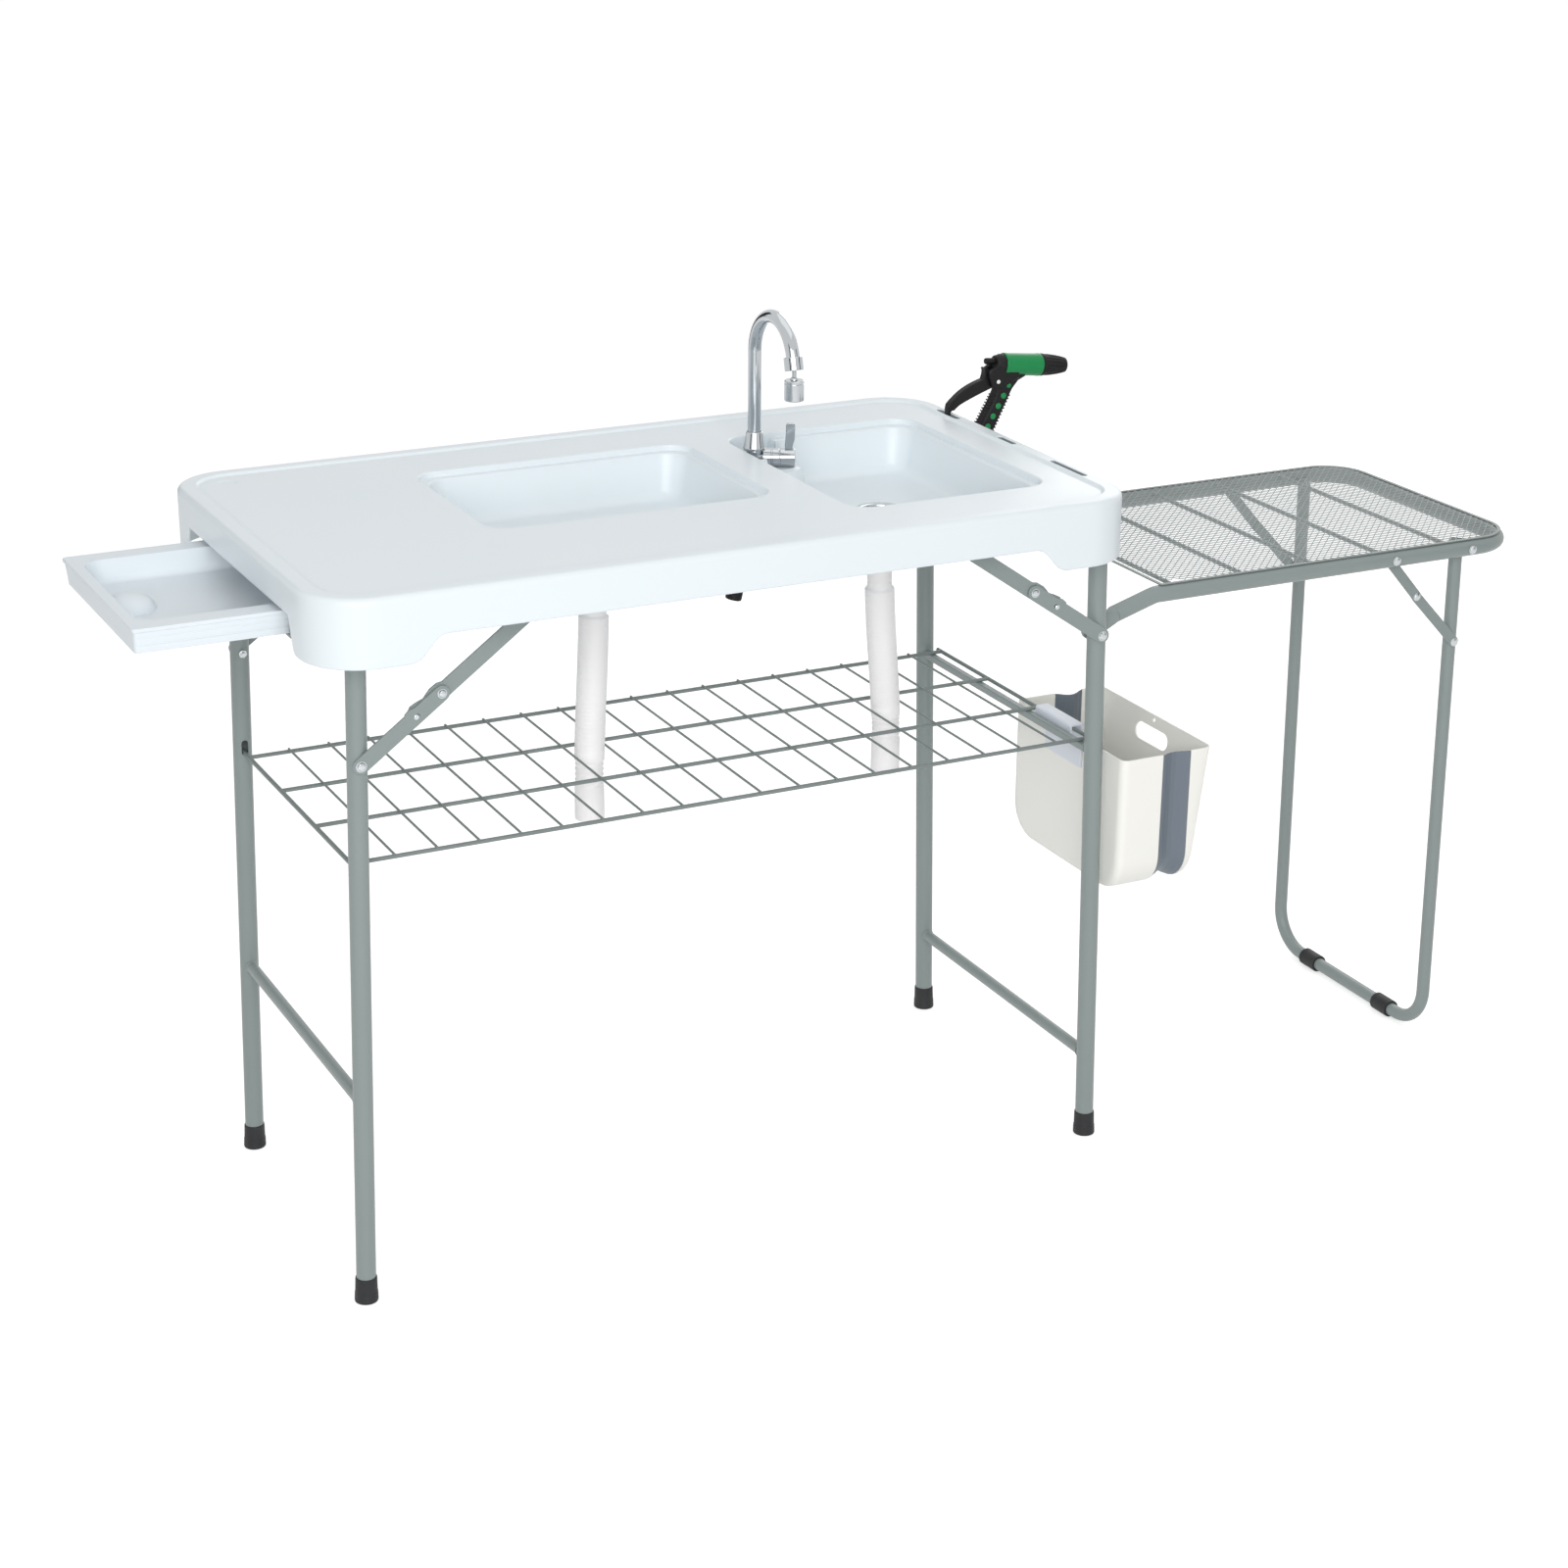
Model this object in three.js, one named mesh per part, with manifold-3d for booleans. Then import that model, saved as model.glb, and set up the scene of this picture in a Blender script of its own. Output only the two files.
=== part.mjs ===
// Folding fish cleaning table: a moulded top with two sinks, a side drawer, a gooseneck tap,
// a spray nozzle, steel legs with braces, a wire shelf, a hanging bucket and a mesh side table.
// Millimetres, +Z up. X runs along the table, from the drawer to the side table.
import * as THREE from 'three';
import { mergeVertices } from 'three/addons/utils/BufferGeometryUtils.js';
import Module from 'manifold-3d';

const wasm = await Module();
wasm.setup();

// ---- shared fits ----
const gap = 0.3;
const overrun = 6;
const half = 0.5;

// ---- facets of round things ----
const tubeSides = 12;
const frameSides = 10;
const rodSides = 8;
const wireSides = 6;
const discSides = 14;
const cornerSteps = 2;
const bendSteps = 3;
const curveSteps = 5;

// ---- table top ----
const topLength = 1100;
const topWidth = 616;
const topHeight = 940;
const topCorner = 76;
const topEdgeRound = 8;
const topPlate = 8;
const topWall = 4;
const rimBand = 22;
const rimRise = 2.5;
const skirtDrop = 53.6;
const bulgeDrop = 85;
const bulgeLength = 109;
const bulgeCurve = 50;
const mouthDrop = 41.5;
const mouthInset = 112;
const mouthHalf = topWidth * half - mouthInset;
const mouthCurve = 26;
const plateUnder = topHeight - topPlate;
const fieldHeight = topHeight - rimRise;
const bulgeBottom = topHeight - bulgeDrop;
const skirtBottom = topHeight - skirtDrop;

// ---- sinks ----
const sinkLong = 387;
const sinkShort = 285;
const sinkCorner = 32;
const sinkLedge = 10;
const sinkLedgeDrop = 8;
const sinkDepth = 72;
const sinkTaper = 17;
const sinkFillet = 14;
const sinkWall = 4;
const rightSinkInset = 216;
const sinkBetween = 59;
const leftSinkEnds = 163;
const leftSinkLong = topLength * half - leftSinkEnds;
const leftSinkY = 48;
const rightSinkX = topLength * half - rightSinkInset;
const leftSinkX = rightSinkX - (sinkShort + leftSinkLong) * half - sinkBetween;
const rightSinkY = -3;
const ledgeHeight = fieldHeight - sinkLedgeDrop;
const sinkFloor = topHeight - sinkDepth;
const sinkUnder = sinkFloor - sinkWall;

// ---- tap deck inside the right sink ----
const deckLength = 74;
const deckWidth = 98;
const deckDrop = 28;
const deckCorner = 18;
const deckHeight = topHeight - deckDrop;
const deckLeft = rightSinkX - sinkShort * half;
const deckBack = rightSinkY + sinkLong * half;

// ---- hanging slots at the right end ----
const slotInset = 16;
const slotWide = 8;
const slotLong = 86;
const slotLongY = -148;
const slotShort = 44;
const slotShortY = 11;
const slotFar = 60;
const slotFarY = 172;

// ---- drawer ----
const drawerLength = 300;
const drawerClear = 36;
const drawerHalf = mouthHalf - drawerClear;
const drawerOut = 172;
const drawerDepth = 32;
const drawerRimThick = 5;
const drawerSideRim = 30;
const drawerEndRim = 15;
const drawerCorner = 24;
const drawerFloor = 3;
const drawerTuck = 4;
const drawerStep = 2.2;
const drawerSteps = 3;
const drawerDome = 20;
const drawerDomeRise = 9;
const drawerTopDrop = 47.5;
const drawerTop = topHeight - drawerTopDrop;
const drawerTip = -topLength * half - drawerOut;
const runnerLip = 16;
const runnerThick = 3;
const runnerInset = 14;
const runnerBehind = 11.5;
const runnerStart = -topLength * half + runnerInset;
const runnerEnd = leftSinkX - leftSinkLong * half - runnerBehind;
const runnerLength = runnerEnd - runnerStart;

// ---- legs ----
const legOuter = 12.5;
const legWall = 1.5;
const legInset = 77.3;
const leftFootInset = 48;
const rightFootOut = 4;
const legHalfWidth = topWidth * half - legInset;
const leftFootX = -topLength * half + leftFootInset;
const rightFootX = topLength * half + rightFootOut;
const legSplay = THREE.MathUtils.degToRad(1.42);
const capHeight = 34;
const capTopOuter = 13.6;
const capBottomOuter = 15;
const capFloor = 6;
const socketWall = 3.6;
const socketDepth = 26;
const crossbarRadius = 8;
const leftCrossbarHeight = 273;
const rightCrossbarHeight = 122;

// ---- braces of the main legs ----
const braceWide = 20;
const braceThick = 3;
const leftBoltDrop = 223;
const rightBoltDrop = 203;
const braceTopDrop = 35;
const leftBoltHeight = topHeight - leftBoltDrop;
const rightBoltHeight = topHeight - rightBoltDrop;
const braceTopHeight = topHeight - braceTopDrop;
const leftBraceRise = THREE.MathUtils.degToRad(36.3);
const rightBraceRise = THREE.MathUtils.degToRad(34.5);
const braceLower = 128;
const braceLap = 41;
const braceLug = 12;
const boltRadius = 3.5;
const boltHead = 6;
const boltHeadThick = 3;
const boltSides = 8;

// ---- wire shelf and its rail ----
const shelfHeight = 578.6;
const shelfInset = 28.7;
const shelfHalfWidth = legHalfWidth - shelfInset;
const shelfInnerShare = 1 / 3;
const longWire = 2.2;
const crossWire = 1.5;
const endRod = 2.6;
const shelfEndOut = 1;
const shelfEndX = topLength * half + shelfEndOut;
const shelfCells = 19;
const weldBite = 0.5;
const rodOver = 12;
const railWide = 10;
const railTall = 20;
const railInside = 14;
const railX = shelfEndX - railInside;
const slotHigh = 22;
const slotAcross = 9;

// ---- drains ----
const drainFlange = 37;
const drainFlangeThick = 2;
const drainHole = 31;
const drainCup = 30;
const drainCupWall = 2.5;
const drainCupDepth = 22;
const drainNeck = 15;
const drainNeckWall = 2;
const drainNeckLength = 12;
const drainNutOuter = 36;
const drainNutThick = 10;
const drainHoles = 6;
const drainHoleRing = 14;
const drainHoleRadius = 5;

// ---- drain hoses ----
const hoseTop = 17;
const hoseBody = 20.2;
const hoseWaist = 17.4;
const hoseTail = 19.8;
const hoseWall = 2.4;
const hoseRib = 0.9;
const hosePitch = 11.6;
const hoseSides = 8;
const hoseTopLength = 76;
const hoseShoulder = 14;
const hoseWaistDrop = 270;
const hoseDrop = 346;
const boreEvery = 5;
const leftHoseSwayX = -18;
const leftHoseSwayY = -19;
const rightHoseSwayX = 28;
const rightHoseSwayY = 24;

// ---- tap ----
const tapBeside = 126;
const tapBehind = 127;
const tapX = rightSinkX - tapBeside;
const tapY = rightSinkY + tapBehind;
const tapFlange = 14;
const tapFlangeThick = 3;
const tapBodyRadius = 11;
const tapBodyBelow = 4;
const tapNutAbove = 21;
const tapBodyTop = topHeight - tapBodyBelow;
const tapNutTop = topHeight + tapNutAbove;
const tapNutBase = 15;
const tapNutNeck = 10.5;
const valveRadius = 10.5;
const valveLength = 34;
const valveDrop = 15;
const valveHeight = topHeight - valveDrop;
const valveTurn = THREE.MathUtils.degToRad(-25);
const tapShank = 8;
const tapShankLength = 34;
const tapLockNut = 13;
const tapLockNutThick = 9;
const spoutRadius = 9;
const spoutBend = 57;
const spoutAbove = 130;
const spoutRise = topHeight + spoutAbove;
const spoutSweep = THREE.MathUtils.degToRad(165);
const spoutSteps = 11;
const spoutCollar = 12.5;
const spoutCollarLength = 17;
const spoutStem = 3;
const spoutBall = 5;
const spoutStemLength = 12;
const aeratorRadius = 13;
const aeratorLength = 27;
const aeratorBore = 9;
const aeratorRoof = 9;
const leverHub = 18;
const leverWide = 14;
const leverThick = 4.5;
const leverRise = 47;

// ---- water inlet below the tap ----
const inletRadius = 6;
const inletCollar = 11.5;
const inletCollarLength = 26;
const inletDrop = 193;
const inletEnd = topHeight - inletDrop;

// ---- spray nozzle ----
const nozzleOut = 95;
const nozzleRise = 60;
const nozzleX = topLength * half + nozzleOut;
const nozzleHeight = topHeight + nozzleRise;
const nozzleTilt = THREE.MathUtils.degToRad(6);
const sleeveRadius = 15.5;
const sleeveWall = 2;
const sleeveLength = 54;
const sleeveBack = 26;
const coreBack = 40;
const tipLength = 37;
const tipEnd = 8.5;
const tipWall = 3;
const stubRadius = 7;
const stubLength = 20;
const gripWide = 24;
const gripTop = 14;
const gripEnd = 12;
const gripFootBack = 73;
const gripFootDrop = 103;
const pinBack = 36;
const pinDrop = 20;
const gripFootX = nozzleX - gripFootBack;
const gripFootZ = nozzleHeight - gripFootDrop;
const pinX = nozzleX - pinBack;
const pinZ = nozzleHeight - pinDrop;
const pinRadius = 3;
const hubRadius = 8;
const housingWide = 22;
const triggerWide = 11;
const triggerNose = 3.6;
const triggerDip = 4.5;
const knobRadius = 4.5;
const knobLength = 15;
const knobStem = 2;

// ---- bucket ----
const bucketLength = 280;
const bucketTall = 196;
const bucketBelow = 16.6;
const bucketRim = shelfHeight - bucketBelow;
const bucketBottom = bucketRim - bucketTall;
const bucketWall = 2.6;
const bucketInside = 105.7;
const bucketY = bucketInside - legHalfWidth;
const bucketClear = 15;
const bucketNear = shelfEndX + bucketClear;
const bucketInner = 64;
const bucketFold = 44;
const bucketOuter = 35;
const bucketLean = 28;
const bucketCorner = 50;
const foldTuck = 9;
const gripSlotLong = 80;
const gripSlotHigh = 24;
const gripSlotDrop = 30;
const hookAhead = 39;
const hookBehind = 53;
const hookFrontY = bucketY - hookAhead;
const hookBackY = bucketY + hookBehind;
const hookThick = 3;
const hookLip = 20;
const hookTail = 42;

// ---- side table ----
const sideTube = 11.5;
const sideTubeWall = 1.4;
const sideDrop = 171;
const sideBendOut = 91;
const sideFarOut = 693;
const sideHeight = topHeight - sideDrop;
const sideBendX = topLength * half + sideBendOut;
const sideFarX = topLength * half + sideFarOut;
const sideCorner = 62;
const sideCornerSteps = 4;
const sideBendRadius = 40;
const eyeRadius = 13;
const eyeThick = 5;
const eyeReach = 44;
const meshThick = 2;
const meshNearGap = 6;
const meshNearX = sideBendX + meshNearGap;
const meshOver = 4;
const meshBorder = 8;
const meshStrand = 4;
const meshColumns = 15;
const meshRows = 6;
const barRadius = 3;
const barFirstGap = 30;
const barFirstX = sideBendX + barFirstGap;
const barPitch = 113.6;
const barCount = 5;
const barBite = 2;

// ---- folding leg of the side table ----
const uTube = 9.5;
const uTubeWall = 1.3;
const uPivotBack = 82;
const uPivotX = sideFarX - uPivotBack;
const uSplay = THREE.MathUtils.degToRad(1.1);
const uCorner = 60;
const padRadius = 13;
const padLength = 36;
const padInset = 89.5;
const linkWide = 15;
const linkThick = 1.5;
const linkTopBack = 213;
const linkTopX = sideFarX - linkTopBack;
const linkUpper = 88.5;
const linkFall = THREE.MathUtils.degToRad(48.2);
const linkFootDrop = 143.5;

// ---- materials ----
const paint = (color, roughness, metalness) => new THREE.MeshStandardMaterial({ color, roughness, metalness });
const whitePlastic = paint('#e4eaec', 0.45, 0);
const steelPaint = paint('#8c9694', 0.5, 0.2);
const wirePaint = paint('#6f7876', 0.5, 0.3);
const chrome = paint('#d9dcde', 0.12, 1);
const blackRubber = paint('#1c1d1f', 0.8, 0);
const blackPlastic = paint('#232426', 0.5, 0);
const greenPlastic = paint('#1f9152', 0.5, 0);
const creamPlastic = paint('#f0efe8', 0.45, 0);
const slateRubber = paint('#5a6470', 0.7, 0);
const hosePlastic = paint('#eef0f0', 0.5, 0);
const bolt = paint('#c9ccce', 0.3, 0.9);

// ---- geometry helpers ----
const v2 = (x, y) => new THREE.Vector2(x, y);
const v3 = (x, y, z) => new THREE.Vector3(x, y, z);
const up = v3(0, 0, 1);

function signedVolume(positions, triangles) {
  const [a, b, c] = [v3(0, 0, 0), v3(0, 0, 0), v3(0, 0, 0)];
  let sum = 0;
  for (let i = 0; i < triangles.length; i += 3) {
    a.fromArray(positions, triangles[i] * 3);
    b.fromArray(positions, triangles[i + 1] * 3);
    c.fromArray(positions, triangles[i + 2] * 3);
    sum += a.dot(b.cross(c));
  }
  return sum;
}

// One closed mesh with shared corners and its faces pointing out.
function closed(geometry) {
  const bare = geometry.clone();
  bare.deleteAttribute('normal');
  bare.deleteAttribute('uv');
  const joined = mergeVertices(bare);
  const corners = joined.getIndex().array;
  const kept = [];
  for (let i = 0; i < corners.length; i += 3) {
    const [a, b, c] = [corners[i], corners[i + 1], corners[i + 2]];
    if (a !== b && b !== c && c !== a) kept.push(a, b, c);
  }
  if (signedVolume(joined.getAttribute('position').array, kept) < 0) kept.reverse();
  joined.setIndex(kept);
  return joined;
}

function solid(geometry) {
  const mesh = closed(geometry);
  return new wasm.Manifold(new wasm.Mesh({
    numProp: 3,
    vertProperties: new Float32Array(mesh.getAttribute('position').array),
    triVerts: new Uint32Array(mesh.getIndex().array),
  }));
}

function surface(body) {
  const mesh = body.getMesh();
  const geometry = new THREE.BufferGeometry();
  geometry.setAttribute('position', new THREE.BufferAttribute(new Float32Array(mesh.vertProperties), 3));
  geometry.setIndex(Array.from(mesh.triVerts));
  return geometry;
}

const join = (first, ...rest) => rest.reduce((sum, next) => sum.add(next), first);
const cut = (first, ...rest) => rest.reduce((sum, next) => sum.subtract(next), first);

function roundedRect(length, width, radius) {
  const x = length * half;
  const y = width * half;
  const shape = new THREE.Shape();
  shape.moveTo(-x + radius, -y);
  shape.lineTo(x - radius, -y);
  shape.absarc(x - radius, -y + radius, radius, -Math.PI / 2, 0);
  shape.lineTo(x, y - radius);
  shape.absarc(x - radius, y - radius, radius, 0, Math.PI / 2);
  shape.lineTo(-x + radius, y);
  shape.absarc(-x + radius, y - radius, radius, Math.PI / 2, Math.PI);
  shape.lineTo(-x, -y + radius);
  shape.absarc(-x + radius, -y + radius, radius, Math.PI, Math.PI * 1.5);
  return shape;
}

// A bar with round ends from (0, 0) to (length, 0).
function stadium(length, radius) {
  const shape = new THREE.Shape();
  shape.absarc(length, 0, radius, -Math.PI / 2, Math.PI / 2);
  shape.absarc(0, 0, radius, Math.PI / 2, Math.PI * 1.5);
  return shape;
}

// A strip that follows a curve, as wide at each end as it is told.
function ribbon(curve, startHalf, endHalf, steps) {
  const left = [];
  const right = [];
  for (let i = 0; i <= steps; i += 1) {
    const t = i / steps;
    const p = curve.getPoint(t);
    const along = curve.getTangent(t);
    const wide = startHalf + (endHalf - startHalf) * t;
    left.push(v2(p.x - along.y * wide, p.y + along.x * wide));
    right.push(v2(p.x + along.y * wide, p.y - along.x * wide));
  }
  return new THREE.Shape([...left, ...right.reverse()]);
}

function prism(shape, bottom, top, curveSegments = cornerSteps) {
  return new THREE.ExtrudeGeometry(shape, { depth: top - bottom, bevelEnabled: false, curveSegments })
    .translate(0, 0, bottom);
}

// Drawn in X and Z and pushed along Y from front to back.
function sidePrism(shape, front, back, curveSegments = cornerSteps) {
  return new THREE.ExtrudeGeometry(shape, { depth: back - front, bevelEnabled: false, curveSegments })
    .rotateX(Math.PI / 2).translate(0, back, 0);
}

// Drawn in Y and Z and pushed along X from left to right.
function endPrism(shape, left, right, curveSegments = cornerSteps) {
  return new THREE.ExtrudeGeometry(shape, { depth: right - left, bevelEnabled: false, curveSegments })
    .rotateX(Math.PI / 2).rotateZ(Math.PI / 2).translate(left, 0, 0);
}

function block(minX, maxX, minY, maxY, minZ, maxZ) {
  return new THREE.BoxGeometry(maxX - minX, maxY - minY, maxZ - minZ)
    .translate((minX + maxX) * half, (minY + maxY) * half, (minZ + maxZ) * half);
}

// A box given by its near and far Y in either order.
const plateBlock = (minX, maxX, oneY, otherY, minZ, maxZ) => block(minX, maxX,
  Math.min(oneY, otherY), Math.max(oneY, otherY), minZ, maxZ);

// Closed skin over rings that have the same number of points.
function loft(rings) {
  const count = rings[0].length;
  const positions = rings.flat().flatMap((p) => [p.x, p.y, p.z]);
  const triangles = [];
  for (let r = 0; r + 1 < rings.length; r += 1) {
    for (let i = 0; i < count; i += 1) {
      const next = (i + 1) % count;
      const [a, b] = [r * count + i, r * count + next];
      triangles.push(a, b, b + count, a, b + count, a + count);
    }
  }
  const cap = (ring, start, flip) => {
    const normal = v3(0, 0, 0);
    ring.forEach((p, i) => normal.add(p.clone().cross(ring[(i + 1) % count])));
    const along = ring[1].clone().sub(ring[0]).normalize();
    const across = normal.normalize().cross(along);
    const flat = ring.map((p) => v2(p.dot(along), p.dot(across)));
    THREE.ShapeUtils.triangulateShape(flat, []).forEach(([a, b, c]) => {
      triangles.push(...(flip ? [start + a, start + c, start + b] : [start + a, start + b, start + c]));
    });
  };
  cap(rings[0], 0, true);
  cap(rings[rings.length - 1], (rings.length - 1) * count, false);
  const geometry = new THREE.BufferGeometry();
  geometry.setAttribute('position', new THREE.Float32BufferAttribute(positions, 3));
  geometry.setIndex(triangles);
  return geometry;
}

const ringAt = (shape, height) => shape.getPoints(cornerSteps).map((p) => v3(p.x, p.y, height));

// A straight round bar between two points.
function bar(from, to, radius, sides = tubeSides) {
  const turn = new THREE.Quaternion().setFromUnitVectors(v3(0, 1, 0), to.clone().sub(from).normalize());
  return new THREE.CylinderGeometry(radius, radius, from.distanceTo(to), sides)
    .applyQuaternion(turn).translate(...from.clone().add(to).multiplyScalar(half).toArray());
}

// A revolved profile about Z: pairs of radius and height, starting and ending on the axis.
function revolve(points, sides = tubeSides) {
  return new THREE.LatheGeometry(points.map(([r, z]) => v2(r, z)), sides).rotateX(Math.PI / 2);
}

// A revolved wall whose profile closes on itself.
const revolveRing = (points, sides = tubeSides) => revolve([...points, points[0]], sides);

// Turns a shape made about Z to point along a direction, and moves it.
const aim = (geometry, direction, place) => geometry
  .applyQuaternion(new THREE.Quaternion().setFromUnitVectors(up, direction)).translate(...place.toArray());

// A bent tube's centre line: straight runs with round corners, one step for each chosen point.
class Route extends THREE.Curve {
  constructor(knots) {
    super();
    this.knots = knots;
  }

  getPoint(t, target = v3(0, 0, 0)) {
    const place = t * (this.knots.length - 1);
    const i = Math.min(Math.floor(place), this.knots.length - 2);
    return target.lerpVectors(this.knots[i], this.knots[i + 1], place - i);
  }

  getPointAt(u, target) {
    return this.getPoint(u, target);
  }

  getTangentAt(u, target = v3(0, 0, 0)) {
    const last = this.knots.length - 1;
    const i = Math.round(u * last);
    const before = this.knots[i].clone().sub(this.knots[Math.max(i - 1, 0)]).normalize();
    const after = this.knots[Math.min(i + 1, last)].clone().sub(this.knots[i]).normalize();
    return target.copy(before).add(after).normalize();
  }
}

function bentRoute(points, radii, steps) {
  const knots = [points[0]];
  for (let i = 1; i < points.length - 1; i += 1) {
    const a = points[i - 1].clone().sub(points[i]).normalize();
    const b = points[i + 1].clone().sub(points[i]).normalize();
    const angle = a.angleTo(b) * half;
    const centre = a.clone().add(b).normalize().multiplyScalar(radii[i - 1] / Math.sin(angle)).add(points[i]);
    const [start, stop] = [a, b].map((way) => way.clone().multiplyScalar(radii[i - 1] / Math.tan(angle))
      .add(points[i]).sub(centre));
    const axis = start.clone().cross(stop).normalize();
    for (let k = 0; k <= steps[i - 1]; k += 1) {
      const turn = (Math.PI - 2 * angle) * (k / steps[i - 1]);
      knots.push(start.clone().applyAxisAngle(axis, turn).add(centre));
    }
  }
  knots.push(points[points.length - 1]);
  return new Route(knots);
}

function sweep(route, outer, inner, sides) {
  const shape = new THREE.Shape();
  shape.absarc(0, 0, outer, 0, Math.PI * 2);
  if (inner > 0) shape.holes.push(new THREE.Path().absarc(0, 0, inner, 0, Math.PI * 2, true));
  return new THREE.ExtrudeGeometry(shape, {
    steps: route.knots.length - 1, extrudePath: route, bevelEnabled: false, curveSegments: sides * half,
  });
}

// ---- scene ----
const table = new THREE.Group();
const model = new THREE.Group();
table.add(model);

function add(name, shape, material, parent = model) {
  const geometry = (shape instanceof THREE.BufferGeometry ? closed(shape) : surface(shape)).toNonIndexed();
  geometry.computeVertexNormals();
  const mesh = new THREE.Mesh(geometry, material);
  mesh.name = name;
  parent.add(mesh);
  return mesh;
}

const ends = { front: -1, back: 1 };
const lean = Math.tan(legSplay);
const legX = {
  left: (z) => leftFootX + z * lean,
  right: (z) => rightFootX - z * lean,
};
const legPoint = (side, s, z) => v3(legX[side](z), s * legHalfWidth, z);

// ---- braces: where their bolts lie ----
function braceLine(side) {
  const dir = side === 'left' ? 1 : -1;
  const height = side === 'left' ? leftBoltHeight : rightBoltHeight;
  const rise = side === 'left' ? leftBraceRise : rightBraceRise;
  const at = (reach) => v2(legX[side](height) + dir * reach * Math.cos(rise), height + reach * Math.sin(rise));
  const full = (braceTopHeight - height) / Math.sin(rise);
  return { dir, rise, foot: at(0), pin: at(braceLower - braceLap), middle: at(braceLower), top: at(full), at };
}
const lowerBraceY = legHalfWidth + legOuter + gap;
const upperBraceY = lowerBraceY - gap;

// ---- table top ----
function skirtCut(flatHalf, curve, ceiling) {
  const floor = bulgeBottom - overrun;
  const shape = new THREE.Shape();
  shape.moveTo(-flatHalf - curve, floor);
  shape.lineTo(flatHalf + curve, floor);
  shape.lineTo(flatHalf + curve, bulgeBottom);
  shape.bezierCurveTo(flatHalf + curve * half, bulgeBottom, flatHalf + curve * half, ceiling, flatHalf, ceiling);
  shape.lineTo(-flatHalf, ceiling);
  shape.bezierCurveTo(-flatHalf - curve * half, ceiling, -flatHalf - curve * half, bulgeBottom,
    -flatHalf - curve, bulgeBottom);
  return shape;
}

function sinkWell(length, width, grow, floor, top) {
  const tiers = [[0, top], [0, ledgeHeight], [sinkTaper - sinkFillet * half, floor + sinkFillet],
    [sinkTaper, floor + sinkFillet * half * half], [sinkTaper + sinkFillet * half, floor]];
  return loft(tiers.map(([inset, z]) => {
    const shrink = 2 * (sinkLedge + inset - grow);
    return ringAt(roundedRect(length - shrink, width - shrink, sinkCorner - inset * half + grow), z);
  }));
}

function sinkSolids(length, width, x, y) {
  const wide = 2 * sinkWall;
  const shell = join(
    solid(prism(roundedRect(length + wide, width + wide, sinkCorner + sinkWall), ledgeHeight - sinkWall, fieldHeight)),
    solid(sinkWell(length, width, sinkWall, sinkUnder, ledgeHeight + gap)),
  );
  const space = join(
    solid(prism(roundedRect(length, width, sinkCorner), ledgeHeight, topHeight + overrun)),
    solid(sinkWell(length, width, 0, sinkFloor, ledgeHeight + gap)),
  );
  const drain = solid(bar(v3(0, 0, sinkUnder - overrun), v3(0, 0, sinkFloor + overrun), drainHole, discSides));
  return [shell, space, drain].map((body) => body.translate([x, y, 0]));
}

// The tap's raised deck in the back left corner of the right sink.
function deckBlock(inset, bottom, top) {
  const left = deckLeft - sinkWall + inset;
  const right = deckLeft + deckLength - inset;
  const back = deckBack + sinkWall - inset;
  const front = deckBack - deckWidth + inset;
  const radius = deckCorner - inset;
  const shape = new THREE.Shape();
  shape.moveTo(left, back);
  shape.lineTo(left, front);
  shape.lineTo(right - radius, front);
  shape.absarc(right - radius, front + radius, radius, -Math.PI / 2, 0);
  shape.lineTo(right, back);
  return solid(prism(shape, bottom, top));
}

function slotCutter(length, y) {
  const run = length - slotWide;
  return prism(stadium(run, slotWide * half), plateUnder - overrun, topHeight + overrun)
    .rotateZ(Math.PI / 2).translate(topLength * half - slotInset, y - run * half, 0);
}

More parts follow.
